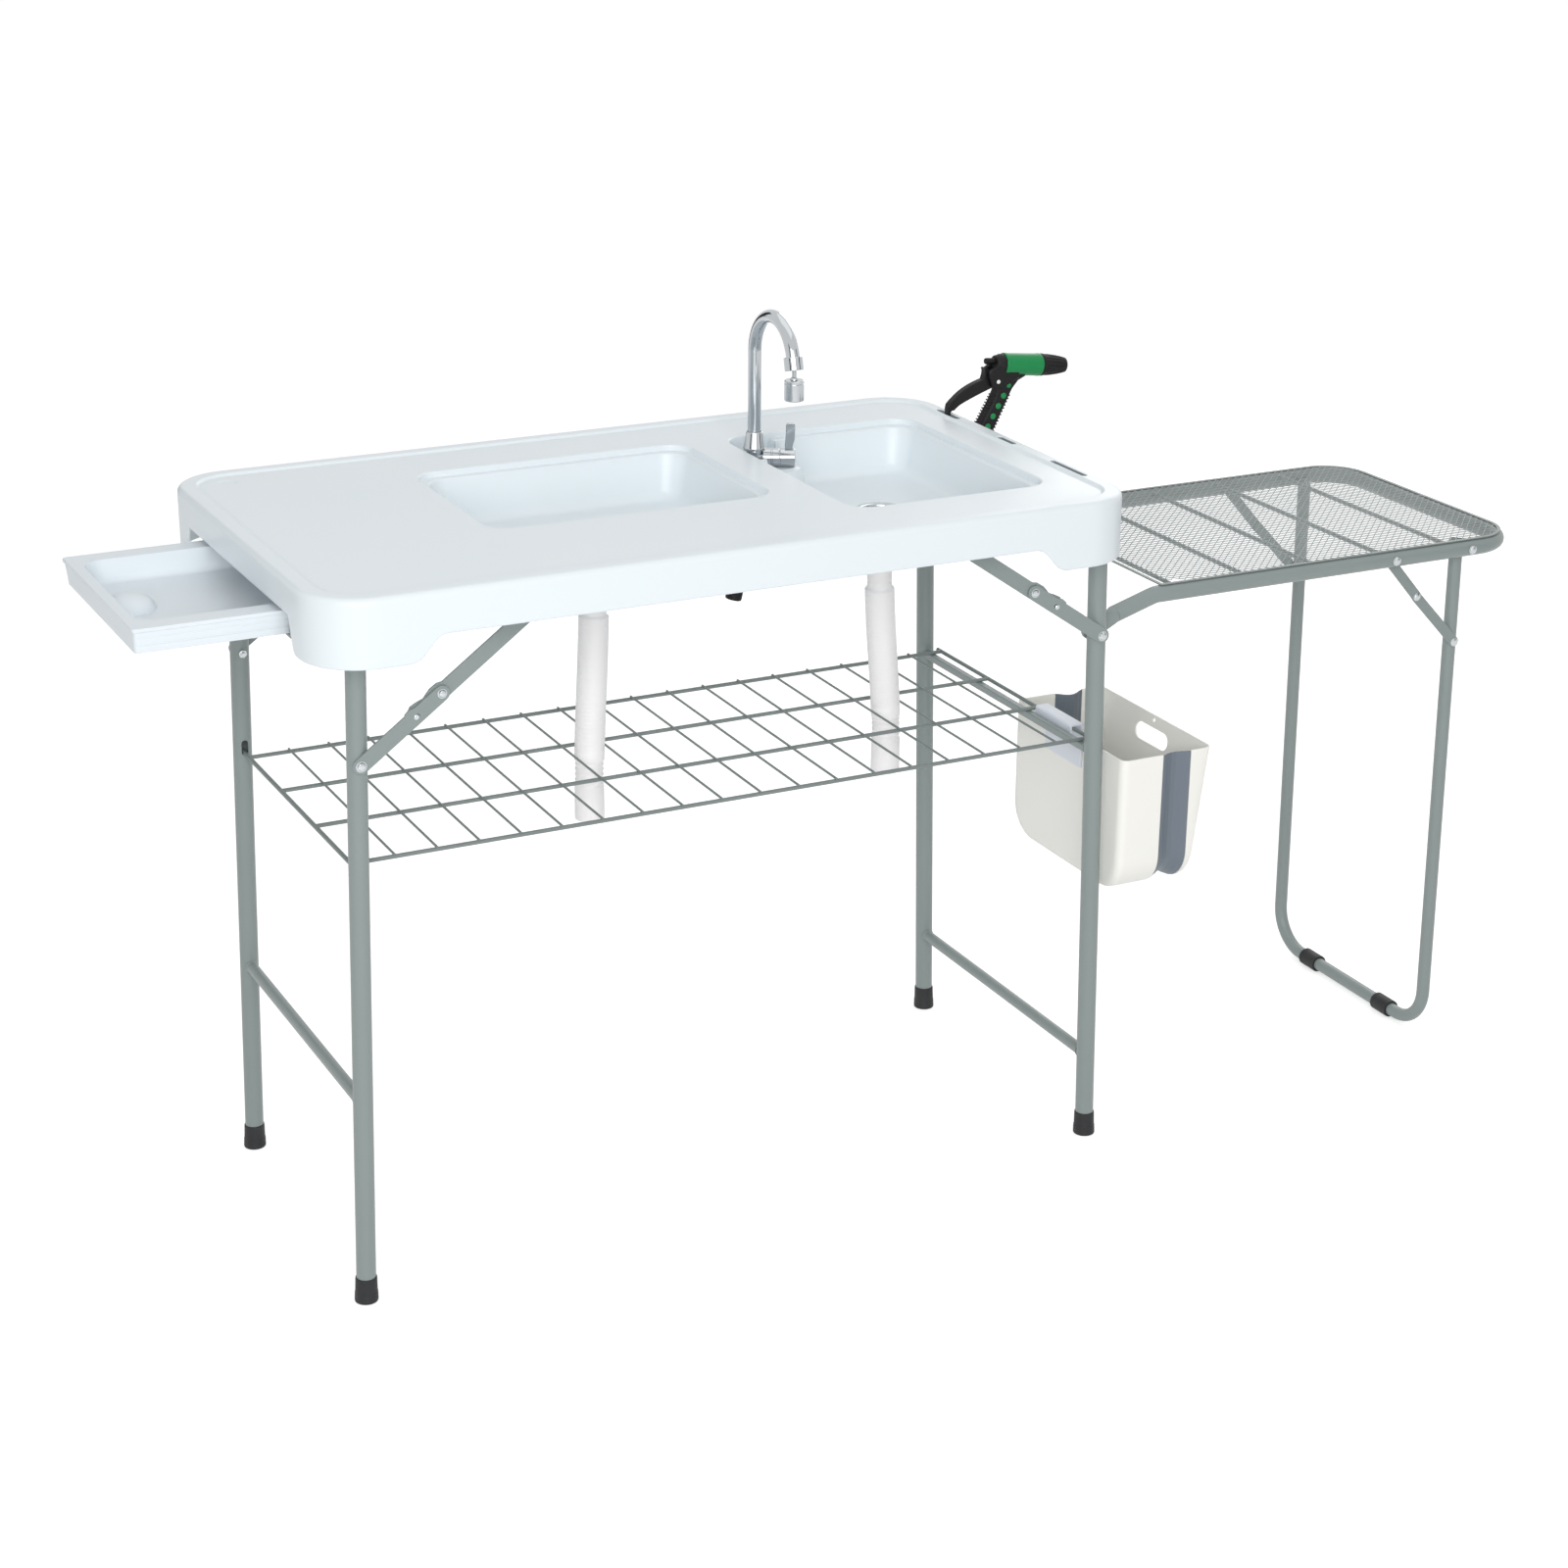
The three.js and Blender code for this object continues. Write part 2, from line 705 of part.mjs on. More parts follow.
function topBody() {
  const inset = 2 * topEdgeRound;
  const crown = new THREE.ExtrudeGeometry(
    roundedRect(topLength - inset, topWidth - inset, topCorner - topEdgeRound),
    {
      depth: bulgeDrop, curveSegments: bendSteps, bevelEnabled: true, bevelThickness: topEdgeRound,
      bevelSize: topEdgeRound, bevelSegments: 2,
    },
  ).translate(0, 0, bulgeBottom - topEdgeRound);
  const [farX, farY] = [topLength, topWidth];
  const [wall, band] = [2 * topWall, 2 * rimBand];
  const hollow = roundedRect(topLength - wall, topWidth - wall, topCorner - topWall);
  const field = roundedRect(topLength - band, topWidth - band, topCorner - rimBand);
  const [leftShell, leftSpace, leftDrain] = sinkSolids(leftSinkLong, sinkShort, leftSinkX, leftSinkY);
  const [rightShell, rightSpace, rightDrain] = sinkSolids(sinkShort, sinkLong, rightSinkX, rightSinkY);
  const skirtX = farX * half - topEdgeRound - topWall;
  const deck = deckBlock(0, sinkUnder, deckHeight);
  const deckWalls = deckBlock(0, sinkUnder, fieldHeight);
  const deckSpace = solid(prism(roundedRect(sinkShort, sinkLong, sinkCorner), deckHeight, topHeight + overrun))
    .translate([rightSinkX, rightSinkY, 0]).intersect(deckBlock(0, deckHeight, topHeight + overrun));
  let body = cut(
    solid(crown),
    solid(block(-farX, farX, -farY, farY, bulgeBottom - bulgeDrop, bulgeBottom)),
    solid(prism(hollow, bulgeBottom - overrun, plateUnder, bendSteps)),
    solid(prism(field, fieldHeight, topHeight + overrun, bendSteps)),
    solid(sidePrism(skirtCut(topLength * half - bulgeLength - bulgeCurve, bulgeCurve, skirtBottom),
      -farY, farY, curveSteps)),
    solid(endPrism(skirtCut(mouthHalf, mouthCurve, topHeight - mouthDrop), -farX, -skirtX, curveSteps)),
    solid(endPrism(skirtCut(mouthHalf, mouthCurve, skirtBottom), skirtX, farX, curveSteps)),
  );
  body = cut(join(body, leftShell, rightShell, deckWalls), leftSpace, rightSpace.subtract(deck), deckSpace,
    leftDrain, rightDrain);
  body = cut(body, deckBlock(sinkWall, sinkUnder - overrun, deckHeight - sinkWall));
  body = cut(body, solid(bar(v3(tapX, tapY, sinkUnder), v3(tapX, tapY, deckHeight + overrun), tapShank + gap)));
  Object.values(ends).forEach((s) => ['left', 'right'].forEach((side) => {
    const boss = bar(legPoint(side, s, plateUnder - socketDepth), legPoint(side, s, plateUnder + gap),
      legOuter + gap + socketWall);
    const bore = bar(legPoint(side, s, bulgeBottom), legPoint(side, s, plateUnder), legOuter + gap);
    const { top } = braceLine(side);
    const lugY = s * (upperBraceY + gap);
    const lug = plateBlock(top.x - braceLug, top.x + braceLug, lugY, lugY + s * braceLug,
      top.y - braceLug, plateUnder + gap);
    const lugHole = bar(v3(top.x, lugY - s * overrun, top.y), v3(top.x, lugY + s * (braceLug + overrun), top.y),
      boltRadius + gap, boltSides);
    body = cut(join(body, solid(boss), solid(lug)), solid(bore), solid(lugHole));
  }));
  return cut(body, solid(slotCutter(slotLong, slotLongY)), solid(slotCutter(slotShort, slotShortY)),
    solid(slotCutter(slotFar, slotFarY)));
}

add('table_top', topBody(), whitePlastic);

// ---- drawer and its runners ----
function drawerBody() {
  const bottom = drawerTop - drawerDepth;
  const start = drawerTip;
  const stop = drawerTip + drawerLength;
  const stepHigh = (drawerDepth - drawerRimThick) / drawerSteps;
  const flank = [v2(drawerHalf, drawerTop)];
  for (let i = 0; i < drawerSteps; i += 1) {
    const z = drawerTop - drawerRimThick - i * stepHigh;
    flank.push(v2(drawerHalf - i * drawerStep, z), v2(drawerHalf - (i + 1) * drawerStep, z));
  }
  flank.push(v2(drawerHalf - drawerSteps * drawerStep, bottom));
  const section = new THREE.Shape([...flank, ...flank.map((p) => v2(-p.x, p.y)).reverse()]);
  const run = new THREE.Shape([v2(start, drawerTop), v2(start, drawerTop - drawerRimThick),
    v2(start + drawerTuck * half, drawerTop - drawerRimThick), v2(start + drawerTuck, bottom),
    v2(stop, bottom), v2(stop, drawerTop)]);
  const shell = solid(endPrism(section, start - overrun, stop + overrun))
    .intersect(solid(sidePrism(run, -drawerHalf - overrun, drawerHalf + overrun)));
  const wellLength = drawerLength - 2 * drawerEndRim;
  const wellWidth = 2 * (drawerHalf - drawerSideRim);
  const tiers = [[0, drawerTop + overrun], [0, drawerTop - drawerRimThick],
    [drawerRimThick, bottom + drawerFloor + drawerRimThick], [2 * drawerRimThick, bottom + drawerFloor]];
  const well = loft(tiers.map(([inset, z]) => {
    const ring = ringAt(roundedRect(wellLength - 2 * inset, wellWidth - 2 * inset, drawerCorner - inset * half), z);
    return ring.map((p) => p.setX(p.x + (start + stop) * half));
  }));
  const dome = revolve([[0, 0], [drawerDome, 0], [drawerDome * half * Math.sqrt(3), drawerDomeRise * half],
    [drawerDome * half, drawerDomeRise * half * Math.sqrt(3)], [0, drawerDomeRise]])
    .translate(start + drawerTuck + 2 * drawerDome, -drawerHalf + drawerSideRim + 2 * drawerDome,
      bottom + drawerFloor - gap);
  return join(shell.subtract(solid(well)), solid(dome));
}

function runner(s) {
  const web = drawerHalf + gap;
  const bottom = drawerTop - drawerDepth - gap;
  const top = plateUnder - gap;
  const [inner, outer, foot] = [web - runnerLip, web + runnerThick, web + runnerThick + runnerLip];
  const shape = new THREE.Shape([v2(inner, bottom), v2(inner, bottom - runnerThick), v2(outer, bottom - runnerThick),
    v2(outer, top - runnerThick), v2(foot, top - runnerThick), v2(foot, top), v2(web, top), v2(web, bottom)]
    .map((p) => p.setX(s * p.x)));
  return endPrism(shape, runnerStart, runnerStart + runnerLength);
}

add('drawer', drawerBody(), whitePlastic);
Object.entries(ends).forEach(([name, s]) => add(`drawer_runner_${name}`, runner(s), steelPaint));

// ---- legs, foot caps and crossbars ----
function legPipe(side, s) {
  const [from, to] = [legPoint(side, s, capFloor + gap), legPoint(side, s, plateUnder - gap)];
  const reach = to.clone().sub(from).normalize().multiplyScalar(overrun);
  let leg = cut(solid(bar(from, to, legOuter)), solid(bar(from.clone().sub(reach), to.clone().add(reach), legOuter - legWall)));
  if (side === 'left') {
    const bottom = shelfHeight - endRod - gap + slotAcross * half;
    const slot = stadium(slotHigh - slotAcross, slotAcross * half);
    const inward = -s * (legOuter + overrun);
    const key = sidePrism(slot, Math.min(inward, 0), Math.max(inward, 0))
      .rotateY(-Math.PI / 2).translate(legX[side](shelfHeight), s * legHalfWidth, bottom);
    leg = cut(leg, solid(key));
  }
  const { foot } = braceLine(side);
  const bolt = bar(v3(foot.x, s * (legHalfWidth - legOuter - overrun), foot.y),
    v3(foot.x, s * (legHalfWidth + legOuter + overrun), foot.y), boltRadius + gap, boltSides);
  return cut(leg, solid(bolt));
}

function footCap(side, s) {
  const direction = legPoint(side, s, capHeight).sub(legPoint(side, s, 0)).normalize();
  const cone = aim(revolve([[0, -capFloor], [capBottomOuter, -capFloor], [capBottomOuter, capFloor],
    [capTopOuter, capHeight], [0, capHeight]]), direction, legPoint(side, s, 0));
  const far = legPoint(side, s, capHeight + overrun);
  return cut(solid(cone), solid(bar(legPoint(side, s, capFloor), far, legOuter + gap)),
    solid(block(far.x - legHalfWidth, far.x + legHalfWidth, -topWidth, topWidth, -capHeight, 0)));
}

function crossbar(side, height) {
  const [from, to] = [legPoint(side, -1, height), legPoint(side, 1, height)];
  const open = v3(0, overrun, 0);
  const legs = Object.values(ends).map((s) => solid(bar(legPoint(side, s, height - capHeight),
    legPoint(side, s, height + capHeight), legOuter + gap)));
  return cut(solid(bar(from, to, crossbarRadius)),
    solid(bar(from.clone().sub(open), to.clone().add(open), crossbarRadius - legWall)), ...legs);
}

Object.entries(ends).forEach(([name, s]) => ['left', 'right'].forEach((side) => {
  add(`leg_${side}_${name}`, legPipe(side, s), steelPaint);
  add(`foot_cap_${side}_${name}`, footCap(side, s), blackRubber);
}));
add('crossbar_left', crossbar('left', leftCrossbarHeight), steelPaint);
add('crossbar_right', crossbar('right', rightCrossbarHeight), steelPaint);

// ---- main braces ----
// A flat link between two bolts, as thick as the space between its two faces.
function link(from, to, radius, oneY, otherY) {
  const [front, back] = [Math.min(oneY, otherY), Math.max(oneY, otherY)];
  const angle = Math.atan2(to.y - from.y, to.x - from.x);
  return new THREE.ExtrudeGeometry(stadium(from.distanceTo(to), radius),
    { depth: back - front, bevelEnabled: false, curveSegments: bendSteps })
    .rotateZ(angle).translate(from.x, from.y, 0).rotateX(Math.PI / 2).translate(0, back, 0);
}

const crossPin = (place, oneY, otherY, radius) => bar(v3(place.x, oneY, place.y), v3(place.x, otherY, place.y),
  radius, boltSides);

// A domed bolt head on the outer face.
const headAt = (place, y, s) => aim(revolve([[0, -gap], [boltHead, -gap], [boltHead * half, boltHeadThick],
  [0, boltHeadThick]], boltSides), v3(0, s, 0), v3(place.x, y, place.y));

function lowerBrace(side, s) {
  const line = braceLine(side);
  const radius = braceWide * half;
  const outer = s * (lowerBraceY + braceThick);
  const inner = s * lowerBraceY;
  const innerSide = s * (legHalfWidth - legOuter - gap);
  let body = solid(link(line.foot, line.middle, radius, inner, outer));
  body = cut(body, solid(crossPin(line.pin, inner - s * overrun, outer + s * overrun, boltRadius + gap)));
  body = join(body, solid(headAt(line.foot, outer, s)), solid(headAt(line.middle, outer, s)));
  const upperInner = s * (upperBraceY - braceThick - gap);
  body = join(body, solid(crossPin(line.middle, upperInner - s * boltHeadThick, outer - s * gap, boltRadius)),
    solid(crossPin(line.middle, upperInner, upperInner - s * boltHeadThick, boltHead)));
  const nutInner = side === 'left' ? innerSide : innerSide - s * (eyeThick + gap);
  return join(body, solid(crossPin(line.foot, nutInner - s * boltHeadThick, outer - s * gap, boltRadius)),
    solid(crossPin(line.foot, nutInner - s * boltHeadThick, nutInner, boltHead)));
}

function upperBrace(side, s) {
  const line = braceLine(side);
  const [inner, outer] = [s * (upperBraceY - braceThick), s * upperBraceY];
  let body = solid(link(line.pin, line.top, braceWide * half, inner, outer));
  body = cut(body, solid(crossPin(line.middle, inner - s * overrun, outer + s * overrun, boltRadius + gap)));
  const outside = s * (lowerBraceY + braceThick + gap);
  body = join(body, solid(crossPin(line.pin, inner + s * gap, outside + s * gap, boltRadius)),
    solid(headAt(line.pin, outside + s * gap, s)), solid(headAt(line.top, inner, -s)),
    solid(crossPin(line.top, inner + s * gap, outer + s * (gap + braceLug), boltRadius)));
  return body;
}

Object.entries(ends).forEach(([name, s]) => ['left', 'right'].forEach((side) => {
  add(`brace_lower_${side}_${name}`, lowerBrace(side, s), steelPaint);
  add(`brace_upper_${side}_${name}`, upperBrace(side, s), steelPaint);
}));

// ---- wire shelf and its rail ----
const shelfLeft = legX.left(shelfHeight);
const shelfPitch = (shelfEndX - shelfLeft) / shelfCells;

function shelfBody() {
  const wires = [];
  const rodEnd = legHalfWidth;
  wires.push(bar(v3(shelfLeft, -rodEnd, shelfHeight), v3(shelfLeft, rodEnd, shelfHeight), endRod, rodSides));
  const farEnd = shelfHalfWidth + rodOver;
  wires.push(bar(v3(shelfEndX, -farEnd, shelfHeight), v3(shelfEndX, farEnd, shelfHeight), endRod, rodSides));
  [-1, -shelfInnerShare, shelfInnerShare, 1].forEach((share) => {
    const y = share * shelfHalfWidth;
    wires.push(bar(v3(shelfLeft, y, shelfHeight), v3(shelfEndX, y, shelfHeight), longWire, wireSides));
  });
  const over = shelfHeight + longWire + crossWire - weldBite;
  const reach = shelfHalfWidth + longWire;
  for (let k = 1; k < shelfCells; k += 1) {
    const x = shelfLeft + k * shelfPitch;
    wires.push(bar(v3(x, -reach, over), v3(x, reach, over), crossWire, wireSides));
  }
  return join(...wires.map(solid));
}

function railBody() {
  const top = shelfHeight - longWire - gap;
  const legs = Object.values(ends).map((s) => solid(bar(legPoint('right', s, top - railTall * 2),
    legPoint('right', s, top + railTall), legOuter + gap)));
  return cut(solid(block(railX - railWide * half, railX + railWide * half, -legHalfWidth + legOuter * half,
    legHalfWidth - legOuter * half, top - railTall, top)), ...legs);
}

add('wire_shelf', shelfBody(), wirePaint);
add('shelf_rail', railBody(), steelPaint);

// ---- drains and hoses ----
const cupBottom = sinkFloor + gap - drainCupDepth;
const neckBottom = cupBottom - drainNeckLength;

function strainer() {
  const top = sinkFloor + gap + drainFlangeThick;
  const profile = [[0, top - drainCupWall], [drainCup - drainCupWall, top - drainCupWall], [drainCup - drainCupWall, top],
    [drainFlange - drainFlangeThick, top], [drainFlange, sinkFloor + gap], [drainCup, sinkFloor + gap],
    [drainCup, cupBottom], [drainNeck, cupBottom], [drainNeck, neckBottom], [drainNeck - drainNeckWall, neckBottom],
    [drainNeck - drainNeckWall, cupBottom + drainCupWall], [drainCup - drainCupWall, cupBottom + drainCupWall],
    [drainCup - drainCupWall, top - 2 * drainCupWall], [0, top - 2 * drainCupWall]];
  const holes = [];
  for (let i = 0; i < drainHoles; i += 1) {
    const angle = (i / drainHoles) * Math.PI * 2;
    const [x, y] = [drainHoleRing * Math.cos(angle), drainHoleRing * Math.sin(angle)];
    holes.push(solid(bar(v3(x, y, top - drainCupWall * 2 - gap), v3(x, y, top + gap), drainHoleRadius, rodSides)));
  }
  return cut(solid(revolve(profile, discSides)), ...holes);
}

function drainNut() {
  const top = sinkUnder - gap;
  const bottom = top - drainNutThick;
  const bore = drainCup + gap;
  const skirt = drainNutOuter - drainFlangeThick;
  return revolveRing([[bore, top], [drainNutOuter, top], [drainNutOuter, top - drainFlangeThick],
    [skirt, top - drainFlangeThick], [skirt, bottom], [bore, bottom]], discSides);
}

// Ribbed flexible hose: its ribs follow the fall of the hose and its bore runs right through.
function hose(swayX, swayY) {
  const top = neckBottom - 2 * gap;
  const rings = [];
  const centreAt = (drop) => {
    const t = THREE.MathUtils.smoothstep(drop, 2 * hoseBody, hoseDrop - 2 * hoseBody);
    return v3(swayX * t, swayY * t, top - drop);
  };
  const profile = (drop) => {
    if (drop < hoseTopLength) return hoseTop;
    if (drop < hoseTopLength + hoseShoulder) {
      return hoseTop + (hoseBody - hoseTop) * ((drop - hoseTopLength) / hoseShoulder);
    }
    if (Math.abs(drop - hoseWaistDrop) < hosePitch) return hoseWaist;
    return drop < hoseWaistDrop ? hoseBody : hoseTail;
  };
  const ring = (drop, radius) => {
    const centre = centreAt(drop);
    const ahead = centreAt(drop + hosePitch).sub(centreAt(drop - hosePitch)).normalize();
    const turn = new THREE.Quaternion().setFromUnitVectors(up, ahead.negate());
    const points = [];
    for (let i = 0; i < hoseSides; i += 1) {
      const angle = (i / hoseSides) * Math.PI * 2;
      points.push(v3(radius * Math.cos(angle), radius * Math.sin(angle), 0).applyQuaternion(turn).add(centre));
    }
    return points;
  };
  const ribs = Math.floor(hoseDrop / hosePitch);
  const pitch = hoseDrop / ribs;
  for (let i = 0; i <= ribs; i += 1) {
    rings.push(ring(i * pitch, profile(i * pitch)));
    if (i < ribs) rings.push(ring((i + half) * pitch, profile((i + half) * pitch) - hoseRib));
  }
  const bore = [];
  for (let i = ribs; i > 0; i -= boreEvery) bore.push(ring(i * pitch, Math.min(hoseTop, profile(i * pitch)) - hoseWall));
  bore.push(ring(0, hoseTop - hoseWall));
  const all = [...rings, ...bore];
  const positions = all.flat().flatMap((p) => [p.x, p.y, p.z]);
  const triangles = [];
  all.forEach((unused, r) => {
    const after = (r + 1) % all.length;
    for (let i = 0; i < hoseSides; i += 1) {
      const next = (i + 1) % hoseSides;
      const [a, b, c, d] = [r * hoseSides + i, r * hoseSides + next, after * hoseSides + next, after * hoseSides + i];
      triangles.push(a, b, c, a, c, d);
    }
  });
  const geometry = new THREE.BufferGeometry();
  geometry.setAttribute('position', new THREE.Float32BufferAttribute(positions, 3));
  geometry.setIndex(triangles);
  return geometry;
}

[['left', leftSinkX, leftSinkY, leftHoseSwayX, leftHoseSwayY],
  ['right', rightSinkX, rightSinkY, rightHoseSwayX, rightHoseSwayY]].forEach(([side, x, y, swayX, swayY]) => {
  add(`drain_strainer_${side}`, strainer(), chrome).position.set(x, y, 0);
  add(`drain_nut_${side}`, drainNut(), whitePlastic).position.set(x, y, 0);
  add(`drain_hose_${side}`, hose(swayX, swayY), hosePlastic).position.set(x, y, 0);
});

// ---- tap ----
const tap = new THREE.Group();
tap.position.set(tapX, tapY, 0);
model.add(tap);
const valveDir = v3(Math.cos(valveTurn), Math.sin(valveTurn), 0);
const flangeTop = deckHeight + gap + tapFlangeThick;

function tapBody() {
  const stem = revolve([[0, deckHeight - tapShankLength], [tapShank, deckHeight - tapShankLength],
    [tapShank, deckHeight + gap], [tapFlange, deckHeight + gap], [tapFlange, flangeTop - gap],
    [tapBodyRadius, flangeTop], [tapBodyRadius, tapBodyTop], [0, tapBodyTop]]);
  const valve = bar(v3(0, 0, valveHeight), v3(0, 0, valveHeight).addScaledVector(valveDir, valveLength), valveRadius);
  return join(solid(stem), solid(valve));
}

function tapLever() {
  const start = v3(0, 0, valveHeight).addScaledVector(valveDir, valveLength + gap);
  const hub = bar(start, start.clone().addScaledVector(valveDir, leverHub), valveRadius);
  const paddle = new THREE.ExtrudeGeometry(stadium(leverRise - leverWide * half, leverWide * half),
    { depth: leverThick, bevelEnabled: false, curveSegments: bendSteps })
    .translate(0, 0, -leverThick * half).rotateZ(Math.PI / 2).rotateX(Math.PI / 2).rotateZ(valveTurn)
    .translate(...start.clone().addScaledVector(valveDir, leverHub * half).toArray());
  return join(solid(hub), solid(paddle));
}

function spout() {
  const points = [v3(0, 0, tapBodyTop + gap)];
  for (let k = 0; k <= spoutSteps; k += 1) {
    const angle = spoutSweep * (k / spoutSteps);
    points.push(v3(0, -spoutBend + spoutBend * Math.cos(angle), spoutRise + spoutBend * Math.sin(angle)));
  }
  const last = points[points.length - 1];
  const exit = v3(0, -Math.sin(spoutSweep), Math.cos(spoutSweep));
  const collarEnd = last.clone().addScaledVector(exit, spoutCollarLength);
  const ball = v3(collarEnd.x, collarEnd.y, collarEnd.z - spoutStemLength);
  const ballShape = new THREE.SphereGeometry(spoutBall, rodSides, wireSides).translate(...ball.toArray());
  return { ball, body: join(solid(sweep(new Route(points), spoutRadius, 0, frameSides)),
    solid(bar(last.clone().addScaledVector(exit, -gap), collarEnd, spoutCollar)),
    solid(bar(collarEnd.clone().addScaledVector(exit, -spoutStem), ball, spoutStem, rodSides)),
    solid(ballShape)) };
}

const tapSpout = spout();
const nutGap = spoutRadius + 2 * gap;
add('tap_body', tapBody(), chrome, tap);
add('tap_nut', revolveRing([[nutGap, tapBodyTop + gap], [tapNutBase, tapBodyTop + gap],
  [tapNutBase, tapBodyTop + gap + tapFlangeThick], [tapNutNeck, tapNutTop], [nutGap, tapNutTop]]), chrome, tap);
add('tap_lever', tapLever(), chrome, tap);
add('tap_spout', tapSpout.body, chrome, tap);
const aeratorTop = tapSpout.ball.z - gap;
add('tap_aerator', cut(
  solid(revolve([[0, aeratorTop - aeratorLength + aeratorBore], [aeratorBore, aeratorTop - aeratorLength + aeratorBore],
    [aeratorBore, aeratorTop - aeratorLength], [aeratorRadius, aeratorTop - aeratorLength],
    [aeratorRadius, aeratorTop - 2 * gap], [aeratorRadius - 2 * gap, aeratorTop], [0, aeratorTop]], tubeSides)
    .translate(tapSpout.ball.x, tapSpout.ball.y, 0)),
  solid(new THREE.SphereGeometry(spoutBall + 2 * gap, tubeSides, rodSides).translate(...tapSpout.ball.toArray())),
), chrome, tap);
const lockTop = deckHeight - sinkWall - gap;
add('tap_lock_nut', cut(
  solid(bar(v3(0, 0, lockTop - tapLockNutThick), v3(0, 0, lockTop), tapLockNut, wireSides)),
  solid(bar(v3(0, 0, lockTop - tapLockNutThick - overrun), v3(0, 0, lockTop + overrun), tapShank + gap)),
), bolt, tap);
const shankEnd = deckHeight - tapShankLength - gap;
add('tap_inlet', revolve([[0, inletEnd + inletRadius], [inletRadius, inletEnd + inletRadius], [inletRadius, inletEnd],
  [inletCollar, inletEnd], [inletCollar, inletEnd + inletCollarLength], [inletRadius + inletRadius * half,
    inletEnd + inletCollarLength + inletRadius], [inletRadius, inletEnd + inletCollarLength + inletRadius],
  [inletRadius, shankEnd], [0, shankEnd]]), blackPlastic, tap);

// ---- spray nozzle ----
const nozzleY = slotFarY;
const axis = v3(Math.cos(nozzleTilt), 0, -Math.sin(nozzleTilt));
const nozzleAt = (distance) => v3(nozzleX, nozzleY, nozzleHeight).addScaledVector(axis, distance);
const coreRadius = sleeveRadius - sleeveWall - gap;
const sleeveEnd = sleeveLength - sleeveBack;
const hubHalf = triggerWide * half + gap;
const slotLeftX = topLength * half - slotInset - slotWide * half;

function nozzleBody() {
  const core = aim(revolve([[0, -coreBack], [coreRadius, -coreBack], [coreRadius, sleeveEnd], [stubRadius, sleeveEnd],
    [stubRadius, sleeveEnd + stubLength], [0, sleeveEnd + stubLength]]), axis, nozzleAt(0));
  const grip = sidePrism(ribbon(new THREE.LineCurve(v2(nozzleX + coreRadius, nozzleHeight - coreRadius * half),
    v2(gripFootX, gripFootZ)), gripTop, gripEnd, 1), nozzleY - gripWide * half, nozzleY + gripWide * half);
  const housing = sidePrism(new THREE.Shape([v2(pinX - hubRadius, pinZ + hubRadius * half),
    v2(pinX - hubRadius * half, pinZ - hubRadius), v2(pinX + hubRadius, pinZ - hubRadius),
    v2(nozzleX, nozzleHeight - gripWide - hubRadius), v2(nozzleX, nozzleHeight), v2(pinX, nozzleHeight + hubRadius)]),
  nozzleY - housingWide * half, nozzleY + housingWide * half);
  const slot = sidePrism(new THREE.Shape([v2(pinX - 2 * hubRadius, pinZ - 2 * hubRadius),
    v2(pinX + hubRadius + gap, pinZ - 2 * hubRadius), v2(pinX + hubRadius + gap, pinZ + hubRadius + gap),
    v2(pinX - 2 * hubRadius, pinZ + hubRadius + gap)]), nozzleY - hubHalf, nozzleY + hubHalf);
  const pin = bar(v3(pinX, nozzleY - housingWide * half - gap, pinZ), v3(pinX, nozzleY + housingWide * half + gap, pinZ),
    pinRadius, boltSides);
  const out = v3(gripFootX - nozzleX, 0, gripFootZ - nozzleHeight).normalize();
  const foot = v3(gripFootX, nozzleY, gripFootZ);
  const inlet = bar(foot.clone().addScaledVector(out, overrun), foot.clone().addScaledVector(out, -gripWide), gripEnd * half);
  const sleeveRoom = bar(nozzleAt(-sleeveBack - gap), nozzleAt(sleeveEnd + overrun), sleeveRadius + 3 * gap);
  const frame = cut(join(solid(grip), solid(housing)), solid(sleeveRoom), solid(slot), solid(inlet));
  return join(frame, solid(core).subtract(solid(slot)), solid(pin));
}

function triggerBody() {
  const noseX = slotLeftX + gap + triggerNose * half;
  const noseEnd = topHeight - triggerDip;
  const bendZ = topHeight + triggerDip;
  const arm = ribbon(new THREE.QuadraticBezierCurve(v2(pinX, pinZ), v2(noseX + triggerWide, pinZ - hubRadius),
    v2(noseX + triggerNose * half, bendZ + triggerNose)), hubRadius - gap * 2, triggerNose, wireSides);
  const nose = new THREE.Shape([v2(noseX - triggerNose * half, noseEnd), v2(noseX + triggerNose * half, noseEnd),
    v2(noseX + triggerNose, bendZ + triggerNose), v2(noseX - triggerNose * half, bendZ + triggerNose)]);
  const hub = sidePrism(stadium(gap, hubRadius - gap), -triggerWide * half, triggerWide * half).translate(pinX, nozzleY, pinZ);
  const wide = [nozzleY - triggerWide * half, nozzleY + triggerWide * half];
  return cut(join(solid(sidePrism(arm, ...wide)), solid(sidePrism(nose, ...wide)), solid(hub)),
    solid(bar(v3(pinX, nozzleY - triggerWide, pinZ), v3(pinX, nozzleY + triggerWide, pinZ), pinRadius + gap, boltSides)));
}

